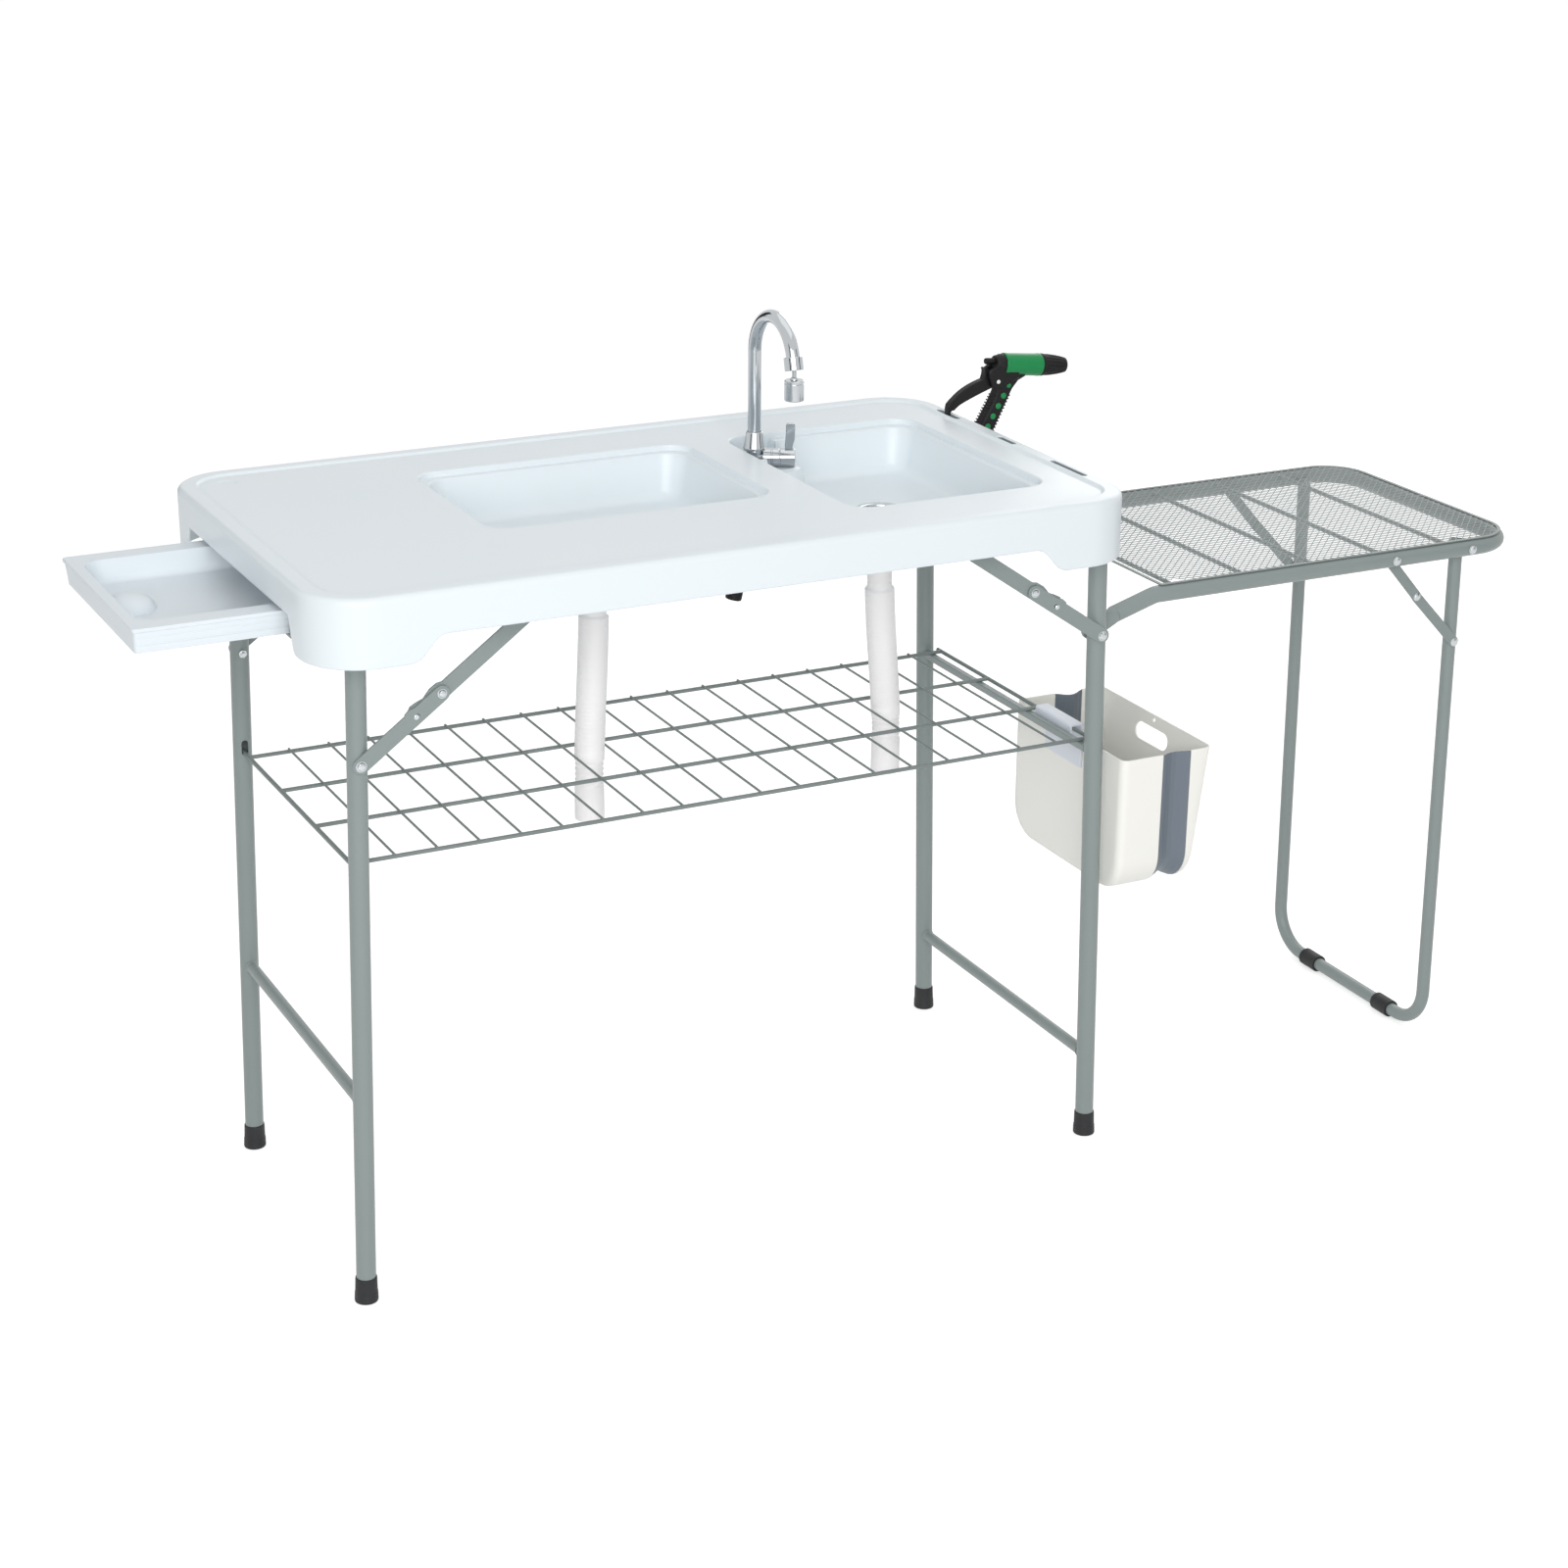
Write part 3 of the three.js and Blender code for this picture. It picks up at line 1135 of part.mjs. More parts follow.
add('nozzle_body', nozzleBody(), blackPlastic);
add('nozzle_trigger', triggerBody(), blackPlastic);
add('nozzle_sleeve', aim(revolveRing([[coreRadius + gap, 0], [sleeveRadius, 0], [sleeveRadius, sleeveLength],
  [coreRadius + gap, sleeveLength]]), axis, nozzleAt(-sleeveBack)), greenPlastic);
add('nozzle_tip', aim(revolveRing([[stubRadius + gap, 0], [sleeveRadius, 0], [sleeveRadius - gap, stubLength * half],
  [tipEnd, tipLength], [tipEnd - tipWall, tipLength], [tipEnd - tipWall, stubLength + tipWall],
  [stubRadius + gap, stubLength + gap]]), axis, nozzleAt(sleeveEnd + 2 * gap)), blackPlastic);
add('nozzle_knob', aim(revolve([[0, 0], [knobRadius, 0], [knobRadius, knobLength - knobStem],
  [knobRadius - knobStem * half, knobLength], [0, knobLength]]), axis.clone().negate(),
nozzleAt(-coreBack - gap).addScaledVector(up, hubRadius * half)), blackPlastic);

// ---- bucket ----
// The bucket's cross section: open at the top, round at the bottom corners.
function tubRing(x, inset, top) {
  const h = bucketLength * half - inset;
  const bottom = bucketBottom + inset;
  const radius = bucketCorner - inset;
  const shape = new THREE.Shape();
  shape.moveTo(-h, top);
  shape.lineTo(-h, bottom + radius);
  shape.absarc(-h + radius, bottom + radius, radius, Math.PI, Math.PI * 1.5);
  shape.lineTo(h - radius, bottom);
  shape.absarc(h - radius, bottom + radius, radius, -Math.PI / 2, 0);
  shape.lineTo(h, top);
  return shape.getPoints(cornerSteps).map((p) => v3(x, p.x + bucketY, p.y));
}
const foldX = bucketNear + bucketInner;
const outerX = foldX + bucketFold;
const bucketFar = outerX + bucketOuter;
const slope = bucketLean / (bucketRim - bucketBottom);
const leaned = (ring, reach) => ring.map((p) => p.clone().setX(outerX + reach - (bucketRim - p.z) * slope));

function innerTub() {
  const shell = loft([tubRing(bucketNear, bucketWall, bucketRim), tubRing(bucketNear + bucketWall, 0, bucketRim),
    tubRing(foldX, 0, bucketRim)]);
  return cut(solid(shell), solid(loft([tubRing(bucketNear + bucketWall, bucketWall, bucketRim + overrun),
    tubRing(foldX + overrun, bucketWall, bucketRim + overrun)])));
}

function outerTub() {
  const shell = loft([tubRing(outerX, 0, bucketRim), leaned(tubRing(0, 0, bucketRim), bucketOuter - bucketWall),
    leaned(tubRing(0, bucketWall, bucketRim), bucketOuter)]);
  const space = loft([tubRing(outerX - overrun, bucketWall, bucketRim + overrun),
    leaned(tubRing(0, bucketWall, bucketRim + overrun), bucketOuter - bucketWall)]);
  const slot = endPrism(stadium(gripSlotLong - gripSlotHigh, gripSlotHigh * half), foldX, bucketFar + overrun)
    .translate(0, bucketY - (gripSlotLong - gripSlotHigh) * half, bucketRim - gripSlotDrop);
  const peg = bar(v3(foldX, bucketY, bucketRim - gripSlotDrop * half * half),
    v3(bucketFar + overrun, bucketY, bucketRim - gripSlotDrop * half * half), spoutStem, boltSides);
  return cut(solid(shell), solid(space), solid(slot), solid(peg));
}

function bucketGusset() {
  const [start, middle, stop] = [foldX + gap, foldX + bucketFold * half, outerX - gap];
  const outer = loft([tubRing(start, gap, bucketRim - gap), tubRing(middle, foldTuck, bucketRim - gap),
    tubRing(stop, gap, bucketRim - gap)]);
  const inner = loft([tubRing(start - overrun, bucketWall, bucketRim + overrun),
    tubRing(start, bucketWall, bucketRim + overrun), tubRing(middle, foldTuck + bucketWall, bucketRim + overrun),
    tubRing(stop, bucketWall, bucketRim + overrun), tubRing(stop + overrun, bucketWall, bucketRim + overrun)]);
  return cut(solid(outer), solid(inner));
}

function bucketHook() {
  const right = bucketNear - gap;
  const rodLeft = shelfEndX - endRod - gap;
  const under = shelfHeight + endRod + gap;
  const tailEnd = bucketRim - hookTail;
  const shape = new THREE.Shape([v2(right, tailEnd), v2(right, under + hookThick), v2(rodLeft - hookThick, under + hookThick),
    v2(rodLeft - hookThick, under - hookLip), v2(rodLeft, under - hookLip), v2(rodLeft, under),
    v2(right - hookThick, under), v2(right - hookThick, tailEnd)]);
  return sidePrism(shape, hookFrontY, hookBackY);
}

add('bucket_inner_shell', innerTub(), creamPlastic);
add('bucket_outer_shell', outerTub(), creamPlastic);
add('bucket_gusset', bucketGusset(), slateRubber);
add('bucket_hook', bucketHook(), whitePlastic);

// ---- side table ----
const sideHalfWidth = legHalfWidth - legOuter - gap - sideTube;
const sidePivot = braceLine('right').foot;
const eyeOuter = sideHalfWidth + sideTube;
const linkOuterFace = sideHalfWidth - sideTube - gap;
const linkInnerFace = linkOuterFace - linkThick - gap;
const uHalfWidth = linkInnerFace - linkThick - gap - uTube;
const padPlace = uHalfWidth - padInset;

function throughHoles(body, places, reachY, radius) {
  return Object.values(ends).reduce((sum, s) => places.reduce((part, place) => part.subtract(
    solid(crossPin(place, s * (reachY - 2 * sideTube), s * (reachY + overrun), radius))), sum), body);
}

function sideFrame() {
  const rise = v2(sideBendX - sidePivot.x, sideHeight - sidePivot.y);
  const tubeStart = rise.clone().setLength(eyeReach).add(sidePivot);
  const corner = (s, x, z) => v3(x, s * sideHalfWidth, z);
  const route = bentRoute([corner(-1, tubeStart.x, tubeStart.y), corner(-1, sideBendX, sideHeight),
    corner(-1, sideFarX, sideHeight), corner(1, sideFarX, sideHeight), corner(1, sideBendX, sideHeight),
    corner(1, tubeStart.x, tubeStart.y)], [sideBendRadius, sideCorner, sideCorner, sideBendRadius],
  [2, sideCornerSteps, sideCornerSteps, 2]);
  let body = solid(sweep(route, sideTube, sideTube - sideTubeWall, frameSides));
  Object.values(ends).forEach((s) => {
    const outer = s * eyeOuter;
    const tongue = link(sidePivot, tubeStart.clone().addScaledVector(rise.clone().normalize(), gap), eyeRadius,
      outer, outer - s * eyeThick);
    const bore = bar(corner(s, tubeStart.x, tubeStart.y), corner(s, sideBendX, sideHeight), sideTube - sideTubeWall, tubeSides);
    body = join(body, cut(solid(tongue), solid(bore)));
    body = cut(body, solid(crossPin(sidePivot, outer + s * overrun, outer - s * (eyeThick + overrun), boltRadius + gap)));
  });
  const barZ = sideHeight + sideTube - barRadius - gap;
  const inset = Math.sqrt(sideTube * sideTube - (barZ - sideHeight) * (barZ - sideHeight));
  const reach = sideHalfWidth - inset + barBite * half;
  for (let i = 0; i < barCount; i += 1) {
    const x = barFirstX + i * barPitch;
    body = join(body, solid(bar(v3(x, -reach, barZ), v3(x, reach, barZ), barRadius, wireSides)));
  }
  return throughHoles(body, [v2(linkTopX, sideHeight), v2(uPivotX, sideHeight)], sideHalfWidth + sideTube, boltRadius + gap);
}

// Expanded metal: staggered rows of diamonds inside a plain border.
function meshTray() {
  const bottom = sideHeight + sideTube + gap;
  const length = sideFarX + meshOver - meshNearX;
  const width = 2 * (sideHalfWidth + meshOver);
  const sheet = roundedRect(length, width, sideCorner);
  const field = v2(length - 2 * meshBorder, width - 2 * meshBorder);
  const cell = v2(field.x / meshColumns, field.y / meshRows);
  const clear = sideCorner - meshBorder;
  for (let i = 0; i < meshColumns; i += 1) {
    const rows = i % 2 === 0 ? meshRows : meshRows - 1;
    for (let j = 0; j < rows; j += 1) {
      const x = (i + half) * cell.x - field.x * half;
      const y = (j + half + (i % 2) * half) * cell.y - field.y * half;
      const [a, b] = [cell.x - meshStrand * Math.SQRT2, cell.y * half - meshStrand];
      const corner = v2(Math.abs(x) + a - field.x * half + clear, Math.abs(y) + b * half - field.y * half + clear);
      const tooFar = corner.x > 0 && corner.y > 0 && corner.length() > clear;
      if (!tooFar && Math.abs(x) + a < field.x * half + meshStrand) {
        sheet.holes.push(new THREE.Path([v2(x - a, y), v2(x, y - b), v2(x + a, y), v2(x, y + b)]));
      }
    }
  }
  return prism(sheet, bottom, bottom + meshThick).translate(meshNearX + length * half, 0, 0);
}

add('side_frame', sideFrame(), steelPaint);
add('side_mesh', meshTray(), wirePaint);

// ---- folding leg of the side table ----
const uFootZ = padRadius;
const uFootX = uPivotX + (sideHeight - uFootZ) * Math.tan(uSplay);
const uLineX = (z) => uPivotX + (sideHeight - z) * Math.tan(uSplay);
const linkTop = v2(linkTopX, sideHeight);
const linkMiddle = linkTop.clone().add(v2(linkUpper * Math.cos(linkFall), -linkUpper * Math.sin(linkFall)));
const linkFoot = v2(uLineX(sideHeight - linkFootDrop), sideHeight - linkFootDrop);

function uLeg() {
  const top = sideHeight + boltHead;
  const points = [v3(uLineX(top), -uHalfWidth, top), v3(uFootX, -uHalfWidth, uFootZ), v3(uFootX, uHalfWidth, uFootZ),
    v3(uLineX(top), uHalfWidth, top)];
  const route = bentRoute(points, [uCorner, uCorner], [sideCornerSteps, sideCornerSteps]);
  let body = solid(sweep(route, uTube, uTube - uTubeWall, frameSides));
  const pivot = v2(uPivotX, sideHeight);
  Object.values(ends).forEach((s) => {
    const outside = s * (sideHalfWidth + sideTube + gap);
    const inner = s * (uHalfWidth - uTube);
    const footOutside = s * (linkInnerFace + gap);
    body = join(body, solid(crossPin(pivot, inner, outside + s * gap, boltRadius)),
      solid(headAt(pivot, outside + s * gap, s)),
      solid(crossPin(linkFoot, inner, footOutside + s * gap, boltRadius)),
      solid(crossPin(linkFoot, footOutside, footOutside + s * boltHeadThick * half, boltHead)));
  });
  return body;
}

function padRing(s) {
  const bore = uTube + 2 * gap;
  const ring = revolveRing([[bore, -padLength * half], [padRadius, -padLength * half],
    [padRadius, padLength * half], [bore, padLength * half]]);
  return aim(ring, v3(0, 1, 0), v3(uFootX, s * padPlace, uFootZ));
}

add('side_leg', uLeg(), steelPaint);
Object.entries(ends).forEach(([name, s]) => {
  add(`side_leg_pad_${name}`, padRing(s), blackRubber);
  const radius = linkWide * half;
  const [upperOut, upperIn] = [s * linkOuterFace, s * (linkOuterFace - linkThick)];
  const [lowerOut, lowerIn] = [s * linkInnerFace, s * (linkInnerFace - linkThick)];
  const outside = s * (sideHalfWidth + sideTube + gap);
  const upper = join(solid(link(linkTop, linkMiddle, radius, upperOut, upperIn)),
    solid(crossPin(linkTop, upperOut - s * gap, outside + s * gap, boltRadius)), solid(headAt(linkTop, outside + s * gap, s)),
    solid(headAt(linkMiddle, upperOut, s)));
  add(`side_link_upper_${name}`, upper, steelPaint);
  const lower = cut(solid(link(linkMiddle, linkFoot, radius, lowerOut, lowerIn)),
    solid(crossPin(linkFoot, lowerIn - s * overrun, lowerOut + s * overrun, boltRadius + gap)));
  add(`side_link_lower_${name}`, lower, steelPaint);
});

// The origin: the middle of the whole outline, on the floor.
model.position.x = -(drawerTip + sideFarX + sideTube) * half;

export default table;
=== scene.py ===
# Looks of the folding fish cleaning table: camera, light, materials, and finer pieces in place of the plain solids.
# Lengths are millimetres in the part's own frame; put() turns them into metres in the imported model's frame.
# Only the camera, the lamps, the floor and the dark cards are placed in metres.
from math import atan2, cos, pi, radians, sin, sqrt, tan

import bpy
import bmesh
from mathutils import Matrix, Quaternion, Vector
from mathutils.geometry import delaunay_2d_cdt


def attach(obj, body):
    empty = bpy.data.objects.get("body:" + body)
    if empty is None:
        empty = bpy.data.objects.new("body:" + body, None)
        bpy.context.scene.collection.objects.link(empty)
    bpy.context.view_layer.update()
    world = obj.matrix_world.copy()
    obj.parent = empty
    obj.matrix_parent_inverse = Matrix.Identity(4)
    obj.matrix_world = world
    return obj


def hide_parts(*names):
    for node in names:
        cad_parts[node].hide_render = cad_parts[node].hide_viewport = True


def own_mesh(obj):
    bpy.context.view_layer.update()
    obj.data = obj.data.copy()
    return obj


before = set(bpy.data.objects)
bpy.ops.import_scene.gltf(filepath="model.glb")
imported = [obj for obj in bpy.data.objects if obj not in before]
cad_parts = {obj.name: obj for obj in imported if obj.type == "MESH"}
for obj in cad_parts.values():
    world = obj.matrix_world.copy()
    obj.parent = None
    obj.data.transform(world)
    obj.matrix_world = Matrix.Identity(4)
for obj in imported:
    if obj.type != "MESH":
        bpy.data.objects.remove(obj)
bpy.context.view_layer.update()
PART_MIDDLE_X = 266.25
TAU = 2 * pi
ENDS = {"front": -1, "back": 1}


def vec(*numbers):
    return Vector(numbers)


def put(p):
    return vec((p[0] - PART_MIDDLE_X) / 1000, p[1] / 1000, p[2] / 1000)


def add_object(name, data):
    obj = bpy.data.objects.new(name, data)
    bpy.context.scene.collection.objects.link(obj)
    return obj


def fill(tree, node, values):
    """Sets sockets of a node, by name or number, or links them where the value is another node's output."""
    for socket, value in values.items():
        if isinstance(value, bpy.types.NodeSocket):
            tree.links.new(value, node.inputs[socket])
        else:
            node.inputs[socket].default_value = value


def add_node(tree, kind, output, values):
    """Adds a node with its sockets filled, and gives one of its outputs."""
    node = tree.nodes.new("ShaderNode" + kind)
    fill(tree, node, values)
    return node.outputs[output]


UP = vec(0, 0, 1)

# ---- camera, where the photograph was taken from ----
YAW, PITCH, ROLL = (radians(a) for a in (26.797, 20.861, 0.546))
EYE = (-1.82165, -3.4656, 1.9798)
ahead = vec(sin(YAW) * cos(PITCH), cos(YAW) * cos(PITCH), -sin(PITCH))
level = vec(cos(YAW), -sin(YAW), 0)
above = level.cross(ahead)
cam_x = cos(ROLL) * level + sin(ROLL) * above
cam_y = -sin(ROLL) * level + cos(ROLL) * above
camera = add_object("camera", bpy.data.cameras.new("camera"))
camera.data.lens = 70.30
camera.data.sensor_width = 36
camera.data.clip_end = 60
camera.matrix_world = Matrix.Translation(EYE) @ Matrix((cam_x, cam_y, -ahead)).transposed().to_4x4()
bpy.context.scene.camera = camera

# ---- materials ----
MIX_FACTOR, MIX_A, MIX_B, MIX_RESULT = 0, 6, 7, 2  # the mix node's sockets for colours
GRAIN_DEPTH = 0.0006


def linear(code):
    parts = [int(code[i:i + 2], 16) / 255 for i in (1, 3, 5)]
    return [c / 12.92 if c <= 0.04045 else ((c + 0.055) / 1.055) ** 2.4 for c in parts]


def shade(color, factor):
    return [min(1, c * factor) for c in color] + [1]


def material(name, code, rough, grain, bump, patch, vary, metal=0.0, coat=0.0, spread=0.06, specular=0.5):
    """A finish with fine grain (scale, strength), slow colour change (scale, share) and uneven gloss."""
    mat = bpy.data.materials.new(name)
    mat.use_nodes = True
    tree = mat.node_tree
    place, base = add_node(tree, "TexCoord", "Object", {}), linear(code)
    slow = add_node(tree, "TexNoise", "Fac", {"Vector": place, "Scale": patch, "Detail": 4})
    fine = add_node(tree, "TexNoise", "Fac", {"Vector": place, "Scale": grain, "Detail": 3})
    mix = tree.nodes.new("ShaderNodeMix")
    mix.data_type = "RGBA"
    fill(tree, mix, {MIX_FACTOR: slow, MIX_A: shade(base, 1 - vary), MIX_B: shade(base, 1 + vary)})
    gloss = add_node(tree, "MapRange", "Result", {
        "Value": slow, "From Min": 0.3, "From Max": 0.7,
        "To Min": max(0.02, rough - spread), "To Max": min(1.0, rough + spread)})
    relief = add_node(tree, "Bump", "Normal", {"Height": fine, "Strength": bump, "Distance": GRAIN_DEPTH})
    fill(tree, tree.nodes["Principled BSDF"], {
        "Base Color": mix.outputs[MIX_RESULT], "Roughness": gloss, "Normal": relief, "Metallic": metal,
        "Coat Weight": coat, "Specular IOR Level": specular})
    return mat


WHITE = material("white_plastic", "#e8f0f4", 0.34, 700, 0.10, 5, 0.012)
# the drawer's plastic: the top's white made a little darker, as painted shade of the drawer under the top
DRAWER = material("drawer_plastic", "#e4ecf1", 0.38, 700, 0.12, 7, 0.012)
HOOK = material("hook_plastic", "#e9eef6", 0.42, 600, 0.12, 9, 0.015)
PAINT = material("frame_paint", "#8a9593", 0.42, 420, 0.16, 10, 0.05, coat=0.15)
WIRE = material("wire_paint", "#7d8684", 0.45, 420, 0.16, 16, 0.07)
TRAY = material("tray_paint", "#9aa1a1", 0.5, 500, 0.2, 16, 0.08)
CHROME = material("chrome", "#bcc0c3", 0.07, 60, 0.012, 22, 0.02, metal=1.0, spread=0.03)
STEEL = material("bolt_steel", "#c3c7c9", 0.24, 500, 0.08, 60, 0.06, metal=1.0)
RUBBER = material("black_rubber", "#1b1c1e", 0.62, 520, 0.3, 30, 0.18, spread=0.1)
BLACK = material("black_plastic", "#121214", 0.5, 520, 0.4, 30, 0.15, spread=0.08, specular=0.28)
GREEN = material("green_plastic", "#148a4c", 0.38, 520, 0.12, 24, 0.06, specular=0.35)
CREAM = material("cream_plastic", "#faf9f3", 0.36, 600, 0.10, 8, 0.015)
SLATE = material("slate_rubber", "#6b7580", 0.5, 420, 0.2, 12, 0.06, specular=0.6)
HOSE = material("hose_plastic", "#faf8f8", 0.42, 520, 0.14, 16, 0.02)
# grey of thin liners inside the hanging slots: painted shade on the slot walls, which the lamps light white
SLOT_SHADE = material("slot_painted_shade", "#8f989c", 0.5, 600, 0.1, 9, 0.03)


# ---- mesh helpers ----
def inside(p, loops):
    odd = False
    for loop in loops:
        for i, a in enumerate(loop):
            b = loop[i - 1]
            if (a[1] > p[1]) != (b[1] > p[1]) and p[0] < (b[0] - a[0]) * (p[1] - a[1]) / (b[1] - a[1]) + a[0]:
                odd = not odd
    return odd


def outline(corners, radii, inset=0.0, arc=6, soften=1.0, edges=None):
    """Rounded outline of a corner list, counter-clockwise, moved inwards by inset. Every inset has the same points.

    soften is the share of the inset that the corner radii lose; edges gives shares of more points along each edge.
    """
    runs = []
    for i, corner in enumerate(corners):
        here = Vector(corner)
        come = (here - Vector(corners[i - 1])).normalized()
        leave = (Vector(corners[(i + 1) % len(corners)]) - here).normalized()
        side_a, side_b = vec(-come.y, come.x), vec(-leave.y, leave.x)
        moved = here + inset * (side_a + side_b) / (1 + side_a.dot(side_b))
        bend = atan2(come.x * leave.y - come.y * leave.x, come.dot(leave))
        sign = 1 if bend > 0 else -1
        radius = max(radii[i] - sign * soften * inset, 0.5)
        start = moved - come * (radius * tan(abs(bend) / 2))
        centre = start + side_a * sign * radius
        spoke = start - centre
        runs.append([vec(spoke.x * cos(a) - spoke.y * sin(a), spoke.x * sin(a) + spoke.y * cos(a)) + centre
                     for a in (bend * k / arc for k in range(arc + 1))])
    points = []
    for i, run in enumerate(runs):
        points += run
        if edges:
            points += [run[-1].lerp(runs[(i + 1) % len(runs)][0], t) for t in edges[i]]
    return points


def rect(length, width, x=0.0, y=0.0):
    a, b = length / 2, width / 2
    return [(x - a, y - b), (x + a, y - b), (x + a, y + b), (x - a, y + b)]


def at(points, z):
    return [vec(p[0], p[1], z) for p in points]


def circle(x, y, radius, sides):
    return [vec(x + radius * cos(TAU * i / sides), y + radius * sin(TAU * i / sides)) for i in range(sides)]


def stadium(a, b, radius, arc=8):
    """Outline round two points."""
    a, b = Vector(a), Vector(b)
    along = (b - a).normalized()
    base = atan2(along.y, along.x)
    return [centre + radius * vec(cos(first + pi * k / arc), sin(first + pi * k / arc))
            for centre, first in ((b, base - pi / 2), (a, base + pi / 2)) for k in range(arc + 1)]


def upright(u, v, h):
    """Places a point of a plate that stands across the table: u along it, v up, h towards the back."""
    return vec(u, h, v)


def bent(points, radii, steps):
    """A centre line with its corners rounded."""
    points = [Vector(p) for p in points]
    line = [points[0]]
    for i in range(1, len(points) - 1):
        a = (points[i - 1] - points[i]).normalized()
        b = (points[i + 1] - points[i]).normalized()
        angle = a.angle(b) / 2
        radius = radii[i - 1]
        centre = points[i] + (a + b).normalized() * (radius / sin(angle))
        start = points[i] + a * (radius / tan(angle)) - centre
        stop = points[i] + b * (radius / tan(angle)) - centre
        axis = start.cross(stop).normalized()
        line += [centre + Quaternion(axis, (pi - 2 * angle) * k / steps) @ start for k in range(steps + 1)]
    return line + [points[-1]]


def headings(line):
    """Unit direction of a line at each of its points."""
    steps = [Vector(), *((b - a).normalized() for a, b in zip(line, line[1:])), Vector()]
    return [(a + b).normalized() for a, b in zip(steps, steps[1:])]


def flutes(depth, count, land, low=0.0, high=1e4, least=0.0):
    """Grooves for Form.lathe: count of them, cut where the cosine passes land, between two heights, outside least."""
    return lambda a, r, h: r - (depth if low < h < high and r > least and cos(count * a) > land else 0)


def weigh_normals(obj):
    soft = obj.modifiers.new("normals", "WEIGHTED_NORMAL")
    soft.keep_sharp = True
    soft.weight = 80


class Form:
    """Several closed or open shapes gathered into one piece."""

    WELD = 2e-5

    def __init__(self):
        self.verts, self.faces = [], []

    def add(self, verts, faces):
        base = len(self.verts)
        self.verts += [Vector(v) for v in verts]
        self.faces += [[i + base for i in f] for f in faces]
        return self

    def loft(self, rings, loop=True, start=False, stop=False, around=False):
        """A skin over rings of points. loop closes each ring, around joins the last ring to the first."""
        count = len(rings[0])
        faces = []
        for r in range(len(rings) if around else len(rings) - 1):
            here, there = r * count, ((r + 1) % len(rings)) * count
            for i in range(count if loop else count - 1):
                j = (i + 1) % count
                faces.append([here + i, here + j, there + j, there + i])
        if start:
            faces.append(list(range(count))[::-1])
        if stop:
            faces.append([(len(rings) - 1) * count + i for i in range(count)])
        return self.add([p for ring in rings for p in ring], faces)

    def flat(self, loops, height=0.0, place=None):
        """Triangles that fill the first loop and leave the others open. place(p) may put a point elsewhere."""
        points, edges = [], []
        for loop in loops:
            base = len(points)
            points += [vec(p[0], p[1]) for p in loop]
            edges += [(base + i, base + (i + 1) % len(loop)) for i in range(len(loop))]
        verts, _, faces, *_ = delaunay_2d_cdt(points, edges, [], 0, 1e-5)
        kept = [list(f) for f in faces if inside(sum((verts[i] for i in f), vec(0, 0)) / 3, loops)]
        return self.add([place(v) if place else (v[0], v[1], height) for v in verts], kept)

    def tube(self, line, radius, sides=20, bore=0.0, edge=0.5, side=None):
        """A round bar or pipe along a line, its ends broken by edge. side is the across direction, if it is fixed."""
        line = [Vector(p) for p in line]
        ways = headings(line)
        across = (side or ways[0].orthogonal()).normalized()
        rings, bores = [], []
        for i, (p, way) in enumerate(zip(line, ways)):
            if side:
                across = (side - way * side.dot(way)).normalized()
            elif i:
                across = ways[i - 1].rotation_difference(way) @ across
            lift = way.cross(across)
            spokes = [across * cos(TAU * k / sides) + lift * sin(TAU * k / sides) for k in range(sides)]
            outer = [p + s * radius for s in spokes]
            if 0 < i < len(line) - 1:
                rings.append(outer)
            else:
                shift = way * (-edge if i else edge)
                broken = [[q + shift for q in outer], [p + s * (radius - edge) for s in spokes]]
                rings += broken if i else broken[::-1]
            if bore:
                bores.append([p + s * bore for s in spokes])
        if bore:
            return self.loft(rings + bores[::-1], around=True)
        return self.loft(rings, start=True, stop=True)

    def lathe(self, profile, origin=(0, 0, 0), axis=UP, sides=32, around=False, ribs=None):
        """Turned shape: (radius, height) pairs along an axis. ribs(angle, radius, height) may change a radius."""
        axis = Vector(axis).normalized()
        across = axis.orthogonal().normalized() if abs(axis.z) < 0.999 else vec(1, 0, 0)
        lift = axis.cross(across)
        origin = Vector(origin)
        rings = []
        for radius, height in profile:
            ring = []
            for a in (TAU * k / sides for k in range(sides)):
                r = ribs(a, radius, height) if ribs else radius
                ring.append(origin + axis * height + (across * cos(a) + lift * sin(a)) * r)
            rings.append(ring)
        return self.loft(rings, around=around, start=not around, stop=not around)

    def slab(self, points, low, high, place, chamfer=0.4, holes=()):
        """A plate: an outline between two heights, its edges broken. place(u, v, h) puts a point."""
        points = [Vector(p) for p in points]
        if sum(points[i - 1].cross(p) for i, p in enumerate(points)) < 0:
            points.reverse()
        low, high = sorted((low, high))
        inner = []
        for i, p in enumerate(points):
            come, leave = p - points[i - 1], points[(i + 1) % len(points)] - p
            come = come.normalized() if come.length else leave.normalized()
            leave = leave.normalized() if leave.length else come
            normal = vec(-come.y - leave.y, come.x + leave.x)
            inner.append(p + normal * (chamfer * 2 / max(normal.length, 0.8) ** 2 if normal.length else 0))
        rings = ((inner, low), (points, low + chamfer), (points, high - chamfer), (inner, high))
        self.loft([[place(p.x, p.y, h) for p in ring] for ring, h in rings], start=not holes, stop=not holes)
        for hole in holes:
            self.loft([[place(p.x, p.y, h) for p in hole] for h in (low, high)])
        for h in (low, high) if holes else ():
            self.flat([inner, *holes], place=lambda p: place(p[0], p[1], h))
        return self

    def box(self, low, high, chamfer=0.6):
        corners = [(low[0], low[1]), (high[0], low[1]), (high[0], high[1]), (low[0], high[1])]
        return self.slab(corners, low[2], high[2], lambda u, v, h: vec(u, v, h), chamfer)

